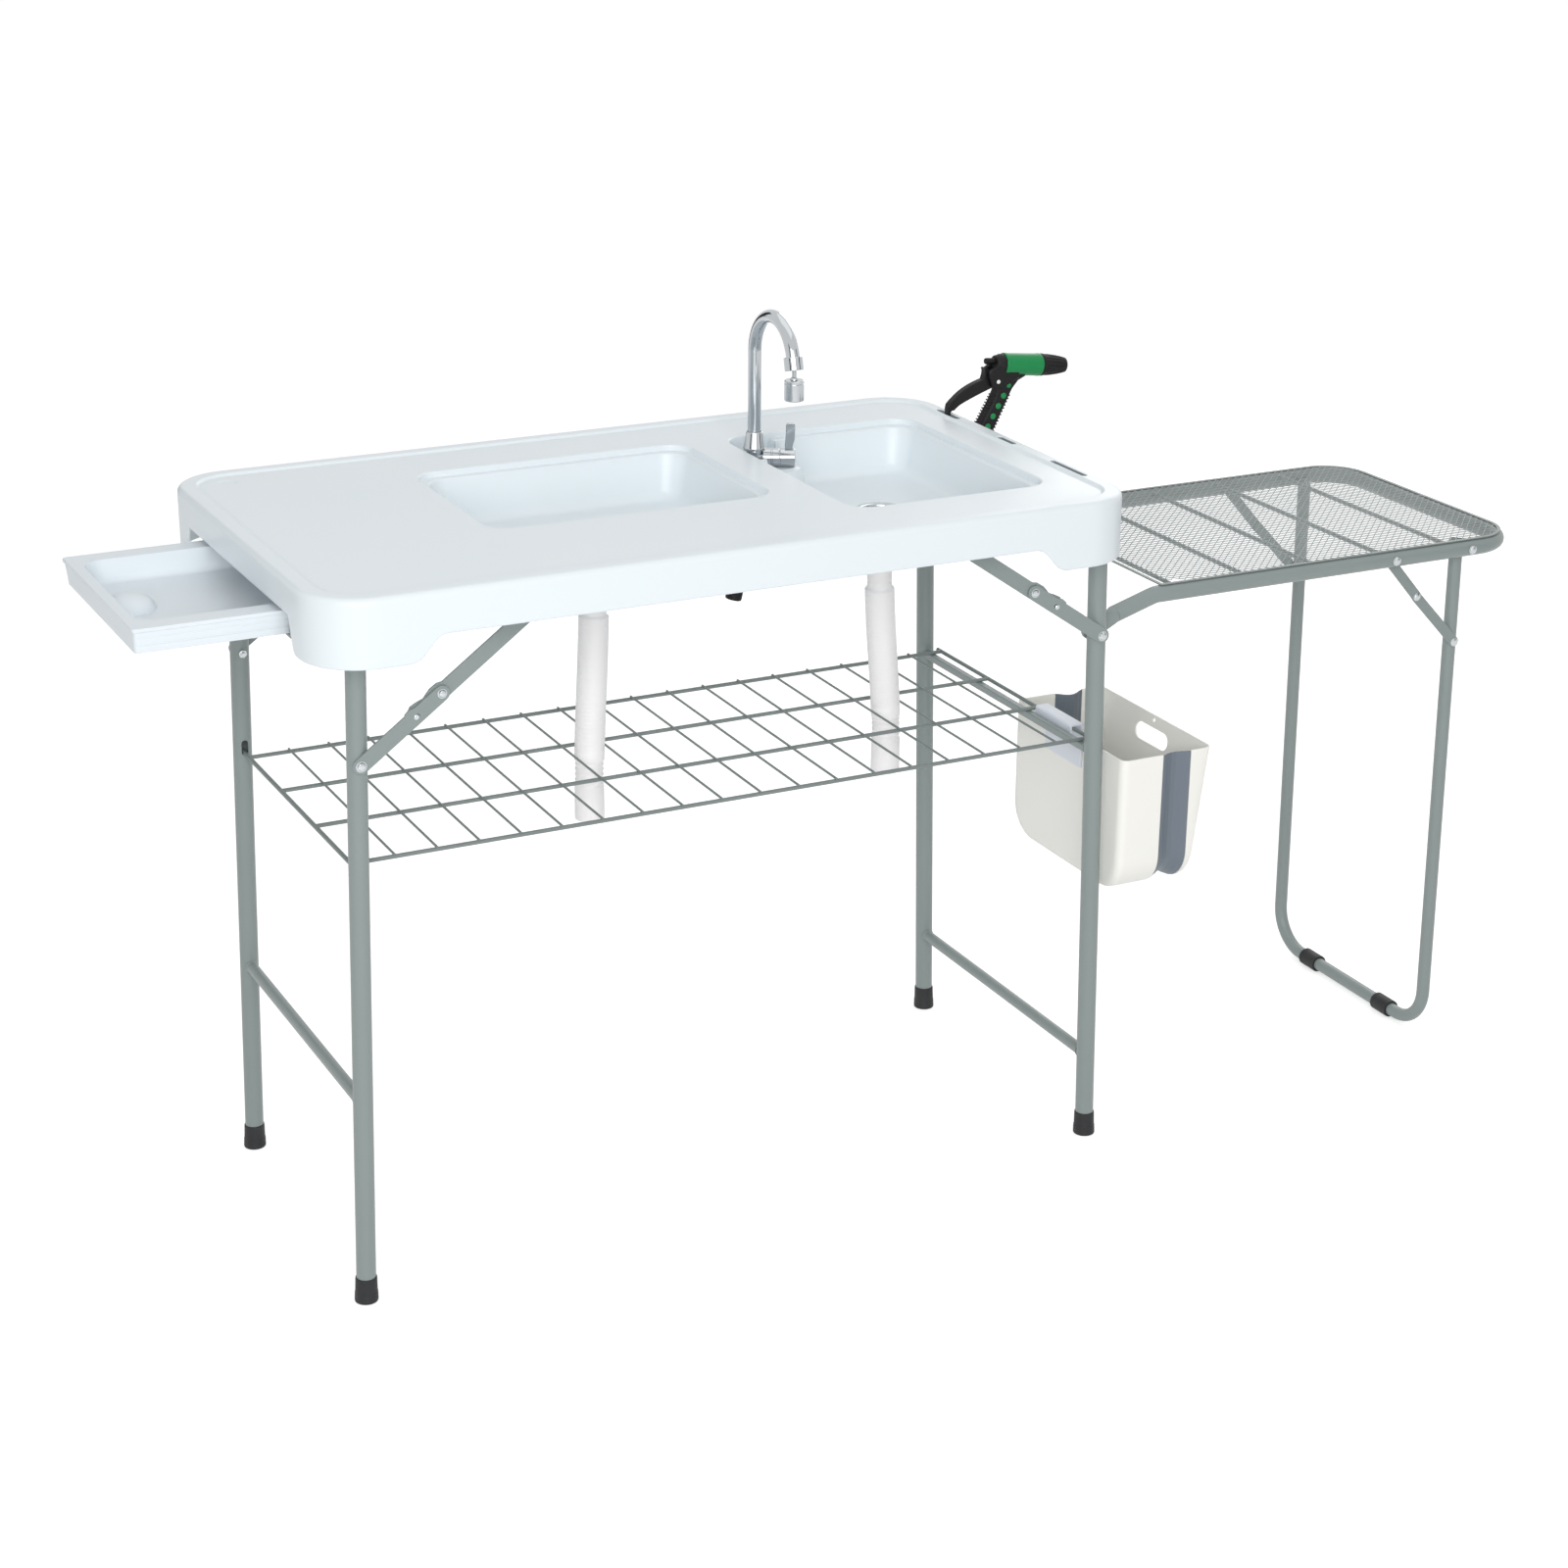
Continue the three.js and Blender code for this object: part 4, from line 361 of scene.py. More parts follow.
    def bolt(self, place, way, radius, rise=3.0):
        """Domed bolt head on a thin washer."""
        dome = [(0, -0.2), (radius + 1.2, -0.2), (radius + 1.2, 0.5), (radius, 0.7), (radius * 0.97, rise * 0.45),
                (radius * 0.8, rise * 0.8), (radius * 0.5, rise * 0.97), (radius * 0.3, rise), (0.01, rise)]
        return self.lathe(dome, place, way, 24)

    def mesh(self, name, weld):
        """The shape in metres, its normals outwards. Points closer than weld become one."""
        mesh = bpy.data.meshes.new(name)
        mesh.from_pydata([put(v) for v in self.verts], [], self.faces)
        work = bmesh.new()
        work.from_mesh(mesh)
        if weld:
            bmesh.ops.remove_doubles(work, verts=work.verts, dist=weld)
        bmesh.ops.dissolve_degenerate(work, edges=work.edges, dist=1e-6)
        bmesh.ops.recalc_face_normals(work, faces=work.faces)
        work.to_mesh(mesh)
        work.free()
        return mesh

    def piece(self, name, finish, body, *nodes, angle=38, weld=WELD, weighted=True):
        """Makes the object, which rides a body and stands for CAD nodes. angle is where its edges turn sharp."""
        mesh = self.mesh(name, weld)
        mesh.materials.append(finish)
        mesh.shade_smooth()
        mesh.set_sharp_from_angle(angle=radians(angle))
        obj = add_object(name, mesh)
        if weighted:
            weigh_normals(obj)
        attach(obj, body)
        if nodes:
            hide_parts(*nodes)
        return obj


# ---- drain hoses: the only hanging cords ----
SINKS = {"left": (-61, 48, -18, -19), "right": (334, -3, 28, 24)}  # centre, and how far the hose leans by its end
HOSE_TOP, HOSE_DROP, HOSE_SIDES, HOSE_RINGS, PATH_STEPS = 833.7, 346, 40, 248, 30
CUFF_END, BAND_START, BAND_END = 74, 264, 300


def smooth(t):
    t = min(max(t, 0), 1)
    return t * t * (3 - 2 * t)


def hose_centre(side, drop):
    x, y, sway_x, sway_y = SINKS[side]
    t = smooth((drop - 40.4) / (HOSE_DROP - 80.8))
    return vec(x + sway_x * t, y + sway_y * t, HOSE_TOP - drop)


def hose_radius(drop):
    """Narrow cuff with a sharp shoulder, finely ribbed body, a band of strong ribs and a smooth end cuff."""
    if drop < CUFF_END:
        return 16.8 + 3.4 * smooth((drop - 70.5) / 3) - (0.8 if 60 < drop < 63 else 0)
    if drop < BAND_START:
        return 20.2 - 0.3 * (0.5 - 0.5 * cos(TAU * drop / 5.6))
    if drop < BAND_END:
        band = smooth((drop - BAND_START) / 4) * smooth((BAND_END - drop) / 4)
        return 19.6 - band * (1.9 - 1.5 * (0.5 - 0.5 * cos(TAU * drop / 7.2)))
    return 19.6 + 0.3 * (drop - BAND_END) / 46


for side in SINKS:
    rings, bore = [], []
    for i in range(HOSE_RINGS + 1):
        drop = HOSE_DROP * i / HOSE_RINGS
        centre = hose_centre(side, drop)
        fall = (hose_centre(side, drop + 6) - hose_centre(side, drop - 6)).normalized()
        spin = UP.rotation_difference(-fall)
        spokes = [spin @ vec(cos(TAU * k / HOSE_SIDES), sin(TAU * k / HOSE_SIDES), 0) for k in range(HOSE_SIDES)]
        rings.append([centre + s * hose_radius(drop) for s in spokes])
        if i % 8 == 0:
            bore.append([centre + s * (14.6 if drop < 66 else 15.2) for s in spokes])
    hose = Form().loft(rings + bore[::-1], around=True).piece(
        f"hose_{side}", HOSE, "table", f"drain_hose_{side}", angle=60, weighted=False)

# ---- table top ----
TOP_LENGTH, TOP_WIDTH, TOP_CORNER = 1100, 616, 76
BULGE, SKIRT, MOUTH = 855.0, 886.4, 898.5  # heights of the skirt's lower edge
RIM_Z, FIELD_Z, UNDER_Z, LEDGE_Z, DECK_Z, FLOOR_Z, WALL = 940, 937.5, 932, 929.5, 912, 868, 4
EDGE_ROUND, LIP_Z = 8, 924
HANG_SLOTS, SLOT_X, SLOT_HALF = ((86, -148), (44, 11), (60, 172)), 534, 4  # length and place of each slot
SINK_CORNER, DRAIN_HOLE, TAP_X, TAP_Y, TAP_HOLE = 32, 31, 208, 124, 8.3
DIMPLE_X, DIMPLE_Y = -482, 250


def s_curve(u):
    """Height share of the skirt's S-shaped step at the share u of its length."""
    low, high = 0.0, 1.0
    for _ in range(24):
        t = (low + high) / 2
        if 1.5 * t - 1.5 * t * t + t ** 3 < u:
            low = t
        else:
            high = t
    return 3 * t * t - 2 * t ** 3


def skirt_bottom(p):
    x, y = p[0], p[1]
    if abs(y) > 236 and abs(x) < 474:
        return SKIRT + (BULGE - SKIRT) * s_curve(min(max((abs(x) - 391) / 50, 0), 1))
    if abs(x) > 478 and abs(y) < 232:
        roof = MOUTH if x < 0 else SKIRT
        return roof + (BULGE - roof) * s_curve(min(max((abs(y) - 196) / 26, 0), 1))
    return BULGE


def spread_edge(half, flat_end, curve_end, fine, coarse):
    """Shares along a straight edge, close together where the skirt curves."""
    one = [curve_end - (curve_end - flat_end) * k / fine for k in range(fine + 1)]
    mids = [flat_end - 2 * flat_end * k / coarse for k in range(1, coarse)]
    return [(half - v) / (2 * half) for v in one + mids + [-v for v in reversed(one)]]


TOP_RECT = rect(TOP_LENGTH, TOP_WIDTH)
TOP_EDGES = [spread_edge(474, 391, 441, 16, 18), spread_edge(232, 196, 222, 12, 12)] * 2


def top_ring(inset):
    return outline(TOP_RECT, [TOP_CORNER] * 4, inset, 14, 1.0, TOP_EDGES)


def slot_ring(length, y, grow=0.0):
    run, radius = length / 2 - SLOT_HALF, SLOT_HALF + grow
    return [vec(SLOT_X + radius * cos(a), y + sign * run + radius * sin(a))
            for sign, first in ((1, 0), (-1, pi)) for a in (pi * k / 8 + first for k in range(9))]


RIGHT_RECT = rect(285, 387, 334, -3)
DECK_EDGE_X, DECK_EDGE_Y = 265.5, 92.5
WELL = [(201.5, -186.5), (466.5, -186.5), (466.5, 180.5), (DECK_EDGE_X, 180.5), (DECK_EDGE_X, DECK_EDGE_Y),
        (201.5, DECK_EDGE_Y)]
WELL_RADII = [32, 32, 32, 10, 18, 10]
ARC = 8


def lip(rim, f):
    """Inset and height of a sink's upper rings; f is the size of the rounded edge, or 0 for none."""
    edge = [(-3 * f, rim), (-1.6 * f, rim - 0.35 * f), (-0.6 * f, rim - 1.1 * f), (0, rim - 3 * f - 0.5)]
    return edge if f else [(0, rim)]


def tiers(ledge, floor):
    """Inset from the ledge's inner edge, and height, down to the sink's floor."""
    return [(0.9, ledge - 2.2), (3.5, ledge - 20), (10, floor + 14), (11.2, floor + 10), (13.6, floor + 6.2),
            (17.2, floor + 3.0), (21.5, floor + 1.0), (27, floor + 0.25), (32, floor)]


def left_sink(form, grow, rim, f):
    x, y = SINKS["left"][:2]
    ledge, floor = LEDGE_Z - grow, FLOOR_Z - grow

    def ring(inset, z):
        return at(outline(rect(387, 285, x, y), [SINK_CORNER] * 4, inset - grow, ARC), z)

    def deep(inset, z):
        return at(outline(rect(367, 265, x, y), [SINK_CORNER] * 4, inset - grow, ARC, 0.5), z)

    rings = [ring(*step) for step in lip(rim, f)]
    if f:
        rings += [ring(0, ledge + 1.2 * f), ring(0.5 * f, ledge + 0.3 * f), ring(1.4 * f, ledge),
                  deep(-1.6 * f, ledge), deep(-0.4 * f, ledge - 0.5 * f)]
    else:
        rings += [ring(0, ledge), deep(0, ledge)]
    rings += [deep(*step) for step in tiers(ledge, floor)]
    form.loft(rings)
    drain = circle(x, y, DRAIN_HOLE, 48)
    form.flat([rings[-1], drain], floor)
    return rings[0], drain


def right_sink(form, grow, rim, f):
    """The sink with the tap's deck left standing in its back left corner."""
    ledge, deck, floor = LEDGE_Z - grow, DECK_Z - grow, FLOOR_Z - grow
    out, n = grow + 2.2 * f, ARC + 1

    def mark(points, beside):
        """Says of each point whether it is beside the deck."""
        return [(p, beside) for p in points]

    def pick(ring, row, beside):
        return [p for p, (_, side) in zip(ring, row) if side == beside]

    def mouth(inset):
        """Marked points of the opening, doubled at its two jumps."""
        points = outline(RIGHT_RECT, [SINK_CORNER] * 4, inset - grow, ARC)
        far, corner = points[:3 * n], points[3 * n:]
        one, two = vec(DECK_EDGE_X - out, corner[0].y), vec(corner[-1].x, DECK_EDGE_Y + out)
        return mark(far + [one], False) + mark([one, *corner, two], True) + mark([two], False)

    def well(inset, soften):
        """The same for the deep part below the ledge and the deck."""
        points = outline(WELL, WELL_RADII, inset - grow, ARC, soften)
        far, bend, last = points[:4 * n], points[4 * n:5 * n], points[5 * n:]
        return mark(far, False) + mark([far[-1], *bend, last[0]], True) + mark(last, False)

    def stepped(row, high, low, drop=0.0):
        return [vec(p.x, p.y, (high if beside else low) - drop) for p, beside in row]

    opening = [at([p for p, _ in mouth(inset)], z) for inset, z in lip(rim, f)]
    edge, brink = mouth(0), well(-2.2 * f, 1.0)
    foot, top = stepped(edge, deck, ledge), stepped(brink, deck, ledge)
    form.loft(opening + [foot])
    walls = [top] + ([stepped(well(-0.6 * f, 1.0), deck, ledge, 0.6 * f)] if f else [])
    walls += [stepped(well(inset, 0.5), min(z, deck - 2.2), z) for inset, z in tiers(ledge, floor)]
    form.loft(walls)
    # both ledge lists run counter-clockwise from the deck's one end to its other
    outer, inner = pick(foot, edge, False), pick(top, brink, False)
    outer, inner = outer[-1:] + outer[:-1], inner[4 * n:] + inner[:4 * n]
    form.flat([outer + inner[::-1]], ledge)
    hole = circle(TAP_X, TAP_Y, TAP_HOLE, 20)
    form.flat([pick(foot, edge, True) + pick(top, brink, True)[::-1], hole], deck)
    form.loft([at(hole, deck), at(hole, deck - 2)])
    for a, b in ((outer[0], inner[0]), (outer[-1], inner[-1])):
        form.add([(a.x, a.y, ledge), (b.x, b.y, ledge), (b.x, b.y, deck), (a.x, a.y, deck)], [[0, 1, 2, 3]])
    drain = circle(*SINKS["right"][:2], DRAIN_HOLE, 48)
    form.flat([walls[-1], drain], floor)
    return opening[0], drain


def clean_loop(points):
    return [p for i, p in enumerate(points) if (p - points[i - 1]).length > 1e-6]


def build_top():
    form, edges = Form(), Form()
    bottoms = [skirt_bottom(p) for p in top_ring(0)]
    bends = [radians(degrees) for degrees in range(0, 91, 18)]
    rings = [at(top_ring(EDGE_ROUND - EDGE_ROUND * sin(a)), UNDER_Z + EDGE_ROUND * cos(a)) for a in bends]
    rings += [at(top_ring(0), LIP_Z), at(top_ring(0), 904)]
    for inset, rise in ((0, 2.2), (0.7, 0.6), (2, 0), (3.4, 0.7), (4, 2.2)):
        rings.append([vec(p.x, p.y, z + rise) for p, z in zip(top_ring(inset), bottoms)])
    rings += [at(top_ring(WALL), LIP_Z), at(top_ring(4.6), 930.6), at(top_ring(6.5), UNDER_Z)]
    form.loft(rings)
    band = [(21.0, RIM_Z), (21.8, 940.25), (22.8, 940.25), (23.8, 939.6), (24.8, 938.2), (25.8, 937.0), (27.2, 936.5),
            (29, 936.8), (31, FIELD_Z)]
    inner = [at(top_ring(inset), z) for inset, z in band]
    form.loft(inner)
    slots = [slot_ring(*place) for place in HANG_SLOTS]
    lips = [slot_ring(*place, 0.8) for place in HANG_SLOTS]
    form.flat([rings[0], inner[0], *lips], RIM_Z)
    for place, opening, slot in zip(HANG_SLOTS, lips, slots):
        form.loft([at(opening, RIM_Z), at(slot, 939.2), at(slot, UNDER_Z)])
        # a thin grey liner just inside each slot's wall, a sheet that carries painted shade
        walls = ((-0.05, 939), (-0.05, 932.4), (-0.35, 932.4), (-0.35, 939))
        edges.loft([at(slot_ring(*place, grow), z) for grow, z in walls], around=True)
    edges.piece("slot_shade_liners", SLOT_SHADE, "table", weld=False)
    upper = [sink(form, 0, FIELD_Z, 1.0) for sink in (left_sink, right_sink)]
    form.flat([inner[-1], *(clean_loop(mouth) for mouth, _ in upper), circle(DIMPLE_X, DIMPLE_Y, 15, 32)], FIELD_Z)
    dish = [(15, 0), (13.6, 0.15), (12, 0.8), (10.4, 1.4), (8, 1.6)]
    form.loft([at(circle(DIMPLE_X, DIMPLE_Y, r, 32), FIELD_Z - d) for r, d in dish], stop=True)
    lower = [sink(form, WALL, UNDER_Z, 0) for sink in (left_sink, right_sink)]
    form.flat([rings[-1], *(clean_loop(mouth) for mouth, _ in lower), *slots], UNDER_Z)
    for (_, drain), (_, hole) in zip(upper, lower):
        form.loft([at(drain, FLOOR_Z), at(hole, FLOOR_Z - WALL)])
    form.piece("top_shell", WHITE, "table", "table_top", angle=42)


build_top()

# ---- places of the legs and their braces ----
LEAN = tan(radians(1.42))
LEG_Y = 230.7
BRACES = {"left": (1, 717, radians(36.3)), "right": (-1, 737, radians(34.5))}  # direction, bolt height, slope


def leg_x(side, z):
    return -502 + z * LEAN if side == "left" else 554 - z * LEAN


def leg_point(side, s, z):
    return vec(leg_x(side, z), s * LEG_Y, z)


def brace_points(side):
    """A function for points along a brace from its bolt on the leg, and its length up to the table top."""
    way, height, rise = BRACES[side]
    return (lambda reach: vec(leg_x(side, height) + way * reach * cos(rise), height + reach * sin(rise)),
            (905 - height) / sin(rise))


form = Form()
for s in ENDS.values():
    for side in BRACES:
        way = (leg_point(side, s, UNDER_Z) - leg_point(side, s, BULGE)).normalized()
        form.lathe([(16.4, 0), (16.4, 25), (13, 25), (13, 0)], leg_point(side, s, 906.3), way, 32, around=True)
        for k in range(6):
            a = TAU * (k + 0.5) / 6
            out = vec(cos(a), sin(a), 0)
            base = leg_point(side, s, 918)
            p, q = base + out * 15.5, base + out * 24
            if abs(q.y) < 300:
                across = vec(-out.y, out.x, 0) * 1.1
                low, tip, high = (vec(0, 0, z) for z in (-9, 10, 13.6))
                form.add([p - across + low, p + across + low, p + across + high, p - across + high,
                          q - across + tip, q + across + tip, q + across + high, q - across + high],
                         [[0, 1, 2, 3], [4, 7, 6, 5], [0, 4, 5, 1], [1, 5, 6, 2], [2, 6, 7, 3], [3, 7, 4, 0]])
        spot, reach = brace_points(side)
        top = spot(reach)
        low_y, high_y = sorted((s * 243.8, s * 255.2))
        form.box((top.x - 12, low_y, 893.5), (top.x + 12, high_y, 931.9), 1.5)
form.piece("top_bosses", WHITE, "table", angle=35, weld=False)

# ---- drawer ----
DRAWER_LEFT, DRAWER_RIGHT, DRAWER_TOP, DRAWER_LOW, DRAWER_FLOOR = -722, -422, 892.5, 860.5, 863.5


def drawer_ring(z, half, trim=0.0):
    front = (DRAWER_LEFT if z > 887.5 else DRAWER_LEFT + 2 + (887.5 - z) * 2 / 27) + trim
    back, wide = DRAWER_RIGHT - trim, half - trim
    return at(outline([(front, -wide), (back, -wide), (back, wide), (front, wide)], [5, 3, 3, 5], 0, 5), z)


form = Form()
rings = [(DRAWER_TOP, 160, 1.2), (DRAWER_TOP - 0.4, 160, 0.4), (DRAWER_TOP - 1.2, 160), (888, 160), (887.5, 159.5)]
for z, half in ((878.5, 157.6), (869.5, 155.2)):
    rings += [(z + 9, half + 0.4), (z + 8.6, half), (z + 2.6, half), (z + 2.2, half - 2), (z + 0.4, half - 2)]
rings += [(869.5, 153.8), (869.1, 153.4), (861.5, 153.4), (860.8, 153.1), (DRAWER_LOW, 152.4, 0.6)]
rings = [drawer_ring(*ring) for ring in rings]
form.loft(rings, stop=True)
well = rect(270, 260, (DRAWER_LEFT + DRAWER_RIGHT) / 2, 0)
steps = [(-1.2, DRAWER_TOP), (-0.3, DRAWER_TOP - 0.4), (0, DRAWER_TOP - 1.4), (0.6, 889), (5, 871), (7, 866.6),
         (10, 864.4), (14, DRAWER_FLOOR)]
deep = [at(outline(well, [26] * 4, inset, 8, 0.6), z) for inset, z in steps]
form.loft(deep)
form.flat([rings[0], deep[0]], DRAWER_TOP)
form.flat([deep[-1]], DRAWER_FLOOR)
dome = [(0.3, -1.4), (34, -1.4), (34, 0.4), (32.6, 3.8), (29.8, 8), (25.2, 12), (19, 15), (12, 17), (6, 17.8),
        (0.3, 18)]
form.lathe(dome, (-680.5, 12, DRAWER_FLOOR), UP, 56)
form.piece("drawer_tray", DRAWER, "drawer", "drawer", angle=32)

# ---- legs, caps, crossbars ----
SHELF_Z, SHELF_RIGHT = 578.6, 551.0


def evaluated(obj):
    """A piece's mesh with its modifiers applied."""
    bpy.context.view_layer.update()
    return bpy.data.meshes.new_from_object(obj.evaluated_get(bpy.context.evaluated_depsgraph_get()))


def carve(obj, form):
    """Cuts a closed form out of a piece's mesh."""
    tool = add_object("cutter", form.mesh("cutter", 1e-6))
    for m in obj.modifiers:
        m.show_viewport = False
    cut = obj.modifiers.new("cut", "BOOLEAN")
    cut.operation = "DIFFERENCE"
    cut.solver = "EXACT"
    cut.object = tool
    done = evaluated(obj)
    obj.modifiers.remove(cut)
    obj.data = done
    for m in obj.modifiers:
        m.show_viewport = True
    bpy.data.objects.remove(tool)
    done.shade_smooth()
    done.set_sharp_from_angle(angle=radians(38))


for name, s in ENDS.items():
    for side in BRACES:
        line = [leg_point(side, s, z) for z in (6.3, 300, 600, 931.7)]
        form = Form().tube(line, 12.5, 32, bore=11.0, side=vec(0, 1, 0))
        obj = form.piece(f"pipe_{side}_{name}", PAINT, "table", f"leg_{side}_{name}")
        if side == "left":
            x, inner = leg_x(side, SHELF_Z), s * LEG_Y
            carve(obj, Form().slab(stadium((x, 580.2), (x, 592.7), 4.5), inner, inner - s * 18, upright, 0))
        cap = [(13.6, 0), (14.6, 0.4), (15, 1.4), (15, 5), (14.5, 6), (14.9, 7.4), (14.9, 8.6), (14.4, 9.8),
               (14.8, 11.2), (14.8, 12.4), (14.2, 13.6), (13.8, 31), (13.6, 33), (13.1, 34), (12.62, 34), (12.62, 8)]
        form = Form().loft([at(circle(leg_x(side, z), s * LEG_Y, r, 40), z) for r, z in cap], start=True, stop=True)
        form.piece(f"cap_{side}_{name}", RUBBER, "table", f"foot_cap_{side}_{name}", angle=30)
for side, height in (("left", 273), ("right", 122)):
    x = leg_x(side, height)
    form = Form().tube([(x, -219.5, height), (x, 219.5, height)], 8, 28, bore=6.5)
    for s in ENDS.values():
        form.lathe([(8.0, 0), (9.6, 0.2), (9.2, 1.5), (8.0, 3.2)], (x, s * 218.6, height), (0, -s, 0), 28)
    form.piece(f"bar_{side}", PAINT, "table", f"crossbar_{side}")

# ---- braces of the main legs ----
LOWER_IN, LOWER_OUT, UPPER_IN, UPPER_OUT = 243.5, 246.5, 240.2, 243.2  # the strips' faces, from the middle
EAR = ((-12, 8), (-9, 11.5), (-2, 12.6), (4, 10.6), (9, 6), (13, 7.6))
KEEL = ((-6, 9), (2, 13.2), (10, 12.2), (20, 9.8), (33, 13.4), (44, 13.0), (52, 9))


def fin(form, pin, along, across, edge, depth, low, high):
    """A plate on a strip: an edge given as (along, across) from the pin, and the same edge moved in by depth."""
    rim = [pin + along * u + across * v for u, v in edge]
    form.slab(rim + [p - across * depth for p in reversed(rim)], low, high, upright, 0.3)


for name, s in ENDS.items():
    way_out, way_in = (0, s, 0), (0, -s, 0)
    for side in BRACES:
        spot, full = brace_points(side)
        foot, pin, middle, top = (spot(r) for r in (0, 87, 128, full))
        along = (middle - foot).normalized()
        across = vec(-along.y, along.x) * (1 if along.x > 0 else -1)
        lower, upper, bolts = Form(), Form(), Form()
        hole = [pin + along * 2 + 2.6 * vec(cos(a), sin(a)) for a in (TAU * k / 16 for k in range(16))]
        lower.slab(stadium(foot, middle, 10), s * LOWER_IN, s * LOWER_OUT, upright, 0.5, [hole])
        fin(lower, pin, along, across, EAR, 6, s * 243.6, s * 246.4)
        inner = (foot.x, s * 217.9, foot.y)
        if side == "left":
            bolts.lathe([(5.8, 0), (5.8, 3.2), (4.4, 3.8)], inner, way_in, 6)
            bolts.lathe([(3, 0), (3, 6.2), (2.4, 6.8)], inner, way_in, 16)
        else:
            bolts.lathe([(5.8, 5.4), (5.8, 8.4), (4.4, 9)], inner, way_in, 6)
        bolts.bolt((foot.x, s * LOWER_OUT, foot.y), way_out, 5.6)
        bolts.bolt((middle.x, s * LOWER_OUT, middle.y), way_out, 4.8, 2.6)
        bolts.lathe([(5.4, 0), (5.4, 2.6), (4.4, 3.1)], (middle.x, s * 240.0, middle.y), way_in, 6)
        lower.piece(f"strut_lower_{side}_{name}", PAINT, "table", f"brace_lower_{side}_{name}", weld=False)
        upper.slab(stadium(pin, top, 10), s * UPPER_IN, s * UPPER_OUT, upright, 0.5)
        fin(upper, pin, along, across, KEEL, 8, s * 240.3, s * 243.1)
        bolts.lathe([(3.4, 0), (3.4, 4.6), (2.6, 5.2)], (pin.x, s * 243, pin.y), way_out, 16)
        bolts.bolt((top.x, s * UPPER_IN, top.y), way_in, 5.6)
        upper.piece(f"strut_upper_{side}_{name}", PAINT, "table", f"brace_upper_{side}_{name}", weld=False)
        bolts.piece(f"brace_bolts_{side}_{name}", STEEL, "table", weld=False, angle=30)

# ---- wire shelf and its rail ----
SHELF_LEFT, LONG_WIRE_Y, CELLS = leg_x("left", SHELF_Z), 202, 19
form = Form()
form.tube([(SHELF_LEFT, -LEG_Y, SHELF_Z), (SHELF_LEFT, LEG_Y, SHELF_Z)], 3.0, 16)
form.tube([(SHELF_RIGHT, -214, SHELF_Z), (SHELF_RIGHT, 214, SHELF_Z)], 2.8, 16, edge=1.2)
long_wires = [share * LONG_WIRE_Y for share in (-1, -1 / 3, 1 / 3, 1)]
for y in long_wires:
    form.tube([(SHELF_LEFT, y, SHELF_Z), (SHELF_RIGHT, y, SHELF_Z)], 2.7, 16)
for k in range(1, CELLS):
    x = SHELF_LEFT + k * ((SHELF_RIGHT - SHELF_LEFT) / CELLS)
    form.tube([(x, -204.2, SHELF_Z + 3.2), (x, 204.2, SHELF_Z + 3.2)], 1.65, 12)
    for y in long_wires:
        form.lathe([(0.4, -1.6), (1.7, -0.9), (2.1, 0), (1.7, 0.9), (0.4, 1.6)], (x, y, SHELF_Z + 2.0), UP, 10)
form.piece("shelf_wires", WIRE, "shelf", "wire_shelf", weld=False, weighted=False)
form = Form().slab(outline(rect(10, 10, 537, 571.1), [1.6] * 4, 0, 4), -218.6, 218.6, upright, 0.3)
form.piece("rail_bar", PAINT, "table", "shelf_rail", weld=False)

# ---- drains ----
for side, (x, y, _, _) in SINKS.items():
    form = Form()
    bowl = [(30, 847), (30, 868.3), (37, 868.3), (37.2, 869.2), (35.6, 870.2), (31, 870.3), (28.6, 869.6),
            (27.6, 868), (27.2, 865.4), (27.2, 849.4), (15, 847.4)]
    form.lathe(bowl, (x, y, 0), UP, 56, around=True)
    holes = [circle(x + r * cos(TAU * k / n + 0.2), y + r * sin(TAU * k / n + 0.2), 2.9, 12)
             for r, n in ((20.5, 12), (12.5, 8)) for k in range(n)]
    for z in (865.9, 864.7):
        form.flat([circle(x, y, 27.3, 56), *holes], z)
    for hole in holes:
        form.loft([at(hole, 865.9), at(hole, 864.7)])
    form.lathe([(2.2, 865.6), (4.6, 867.0), (5.2, 868.6), (3.6, 869.8), (1, 870.1)], (x, y, 0), UP, 24)
    form.lathe([(13, 834.4), (15, 834.4), (15, 849), (13, 849)], (x, y, 0), UP, 40, around=True)
    form.piece(f"strainer_{side}", CHROME, "table", f"drain_strainer_{side}", weld=False)
    nut = [(30.3, 863.7), (35.4, 863.7), (36, 863.1), (36, 862.3), (35.4, 861.7), (34.4, 861.3), (34, 860.9),
                        (34, 854.4), (33.3, 853.7), (30.3, 853.7)]
    form = Form().lathe(nut, (x, y, 0), UP, 72, around=True,
                        ribs=lambda a, r, h: r - (1.0 if 33 < r < 34.2 and cos(12 * a) < -0.2 else 0))
    form.piece(f"nut_{side}", HOSE, "table", f"drain_nut_{side}")

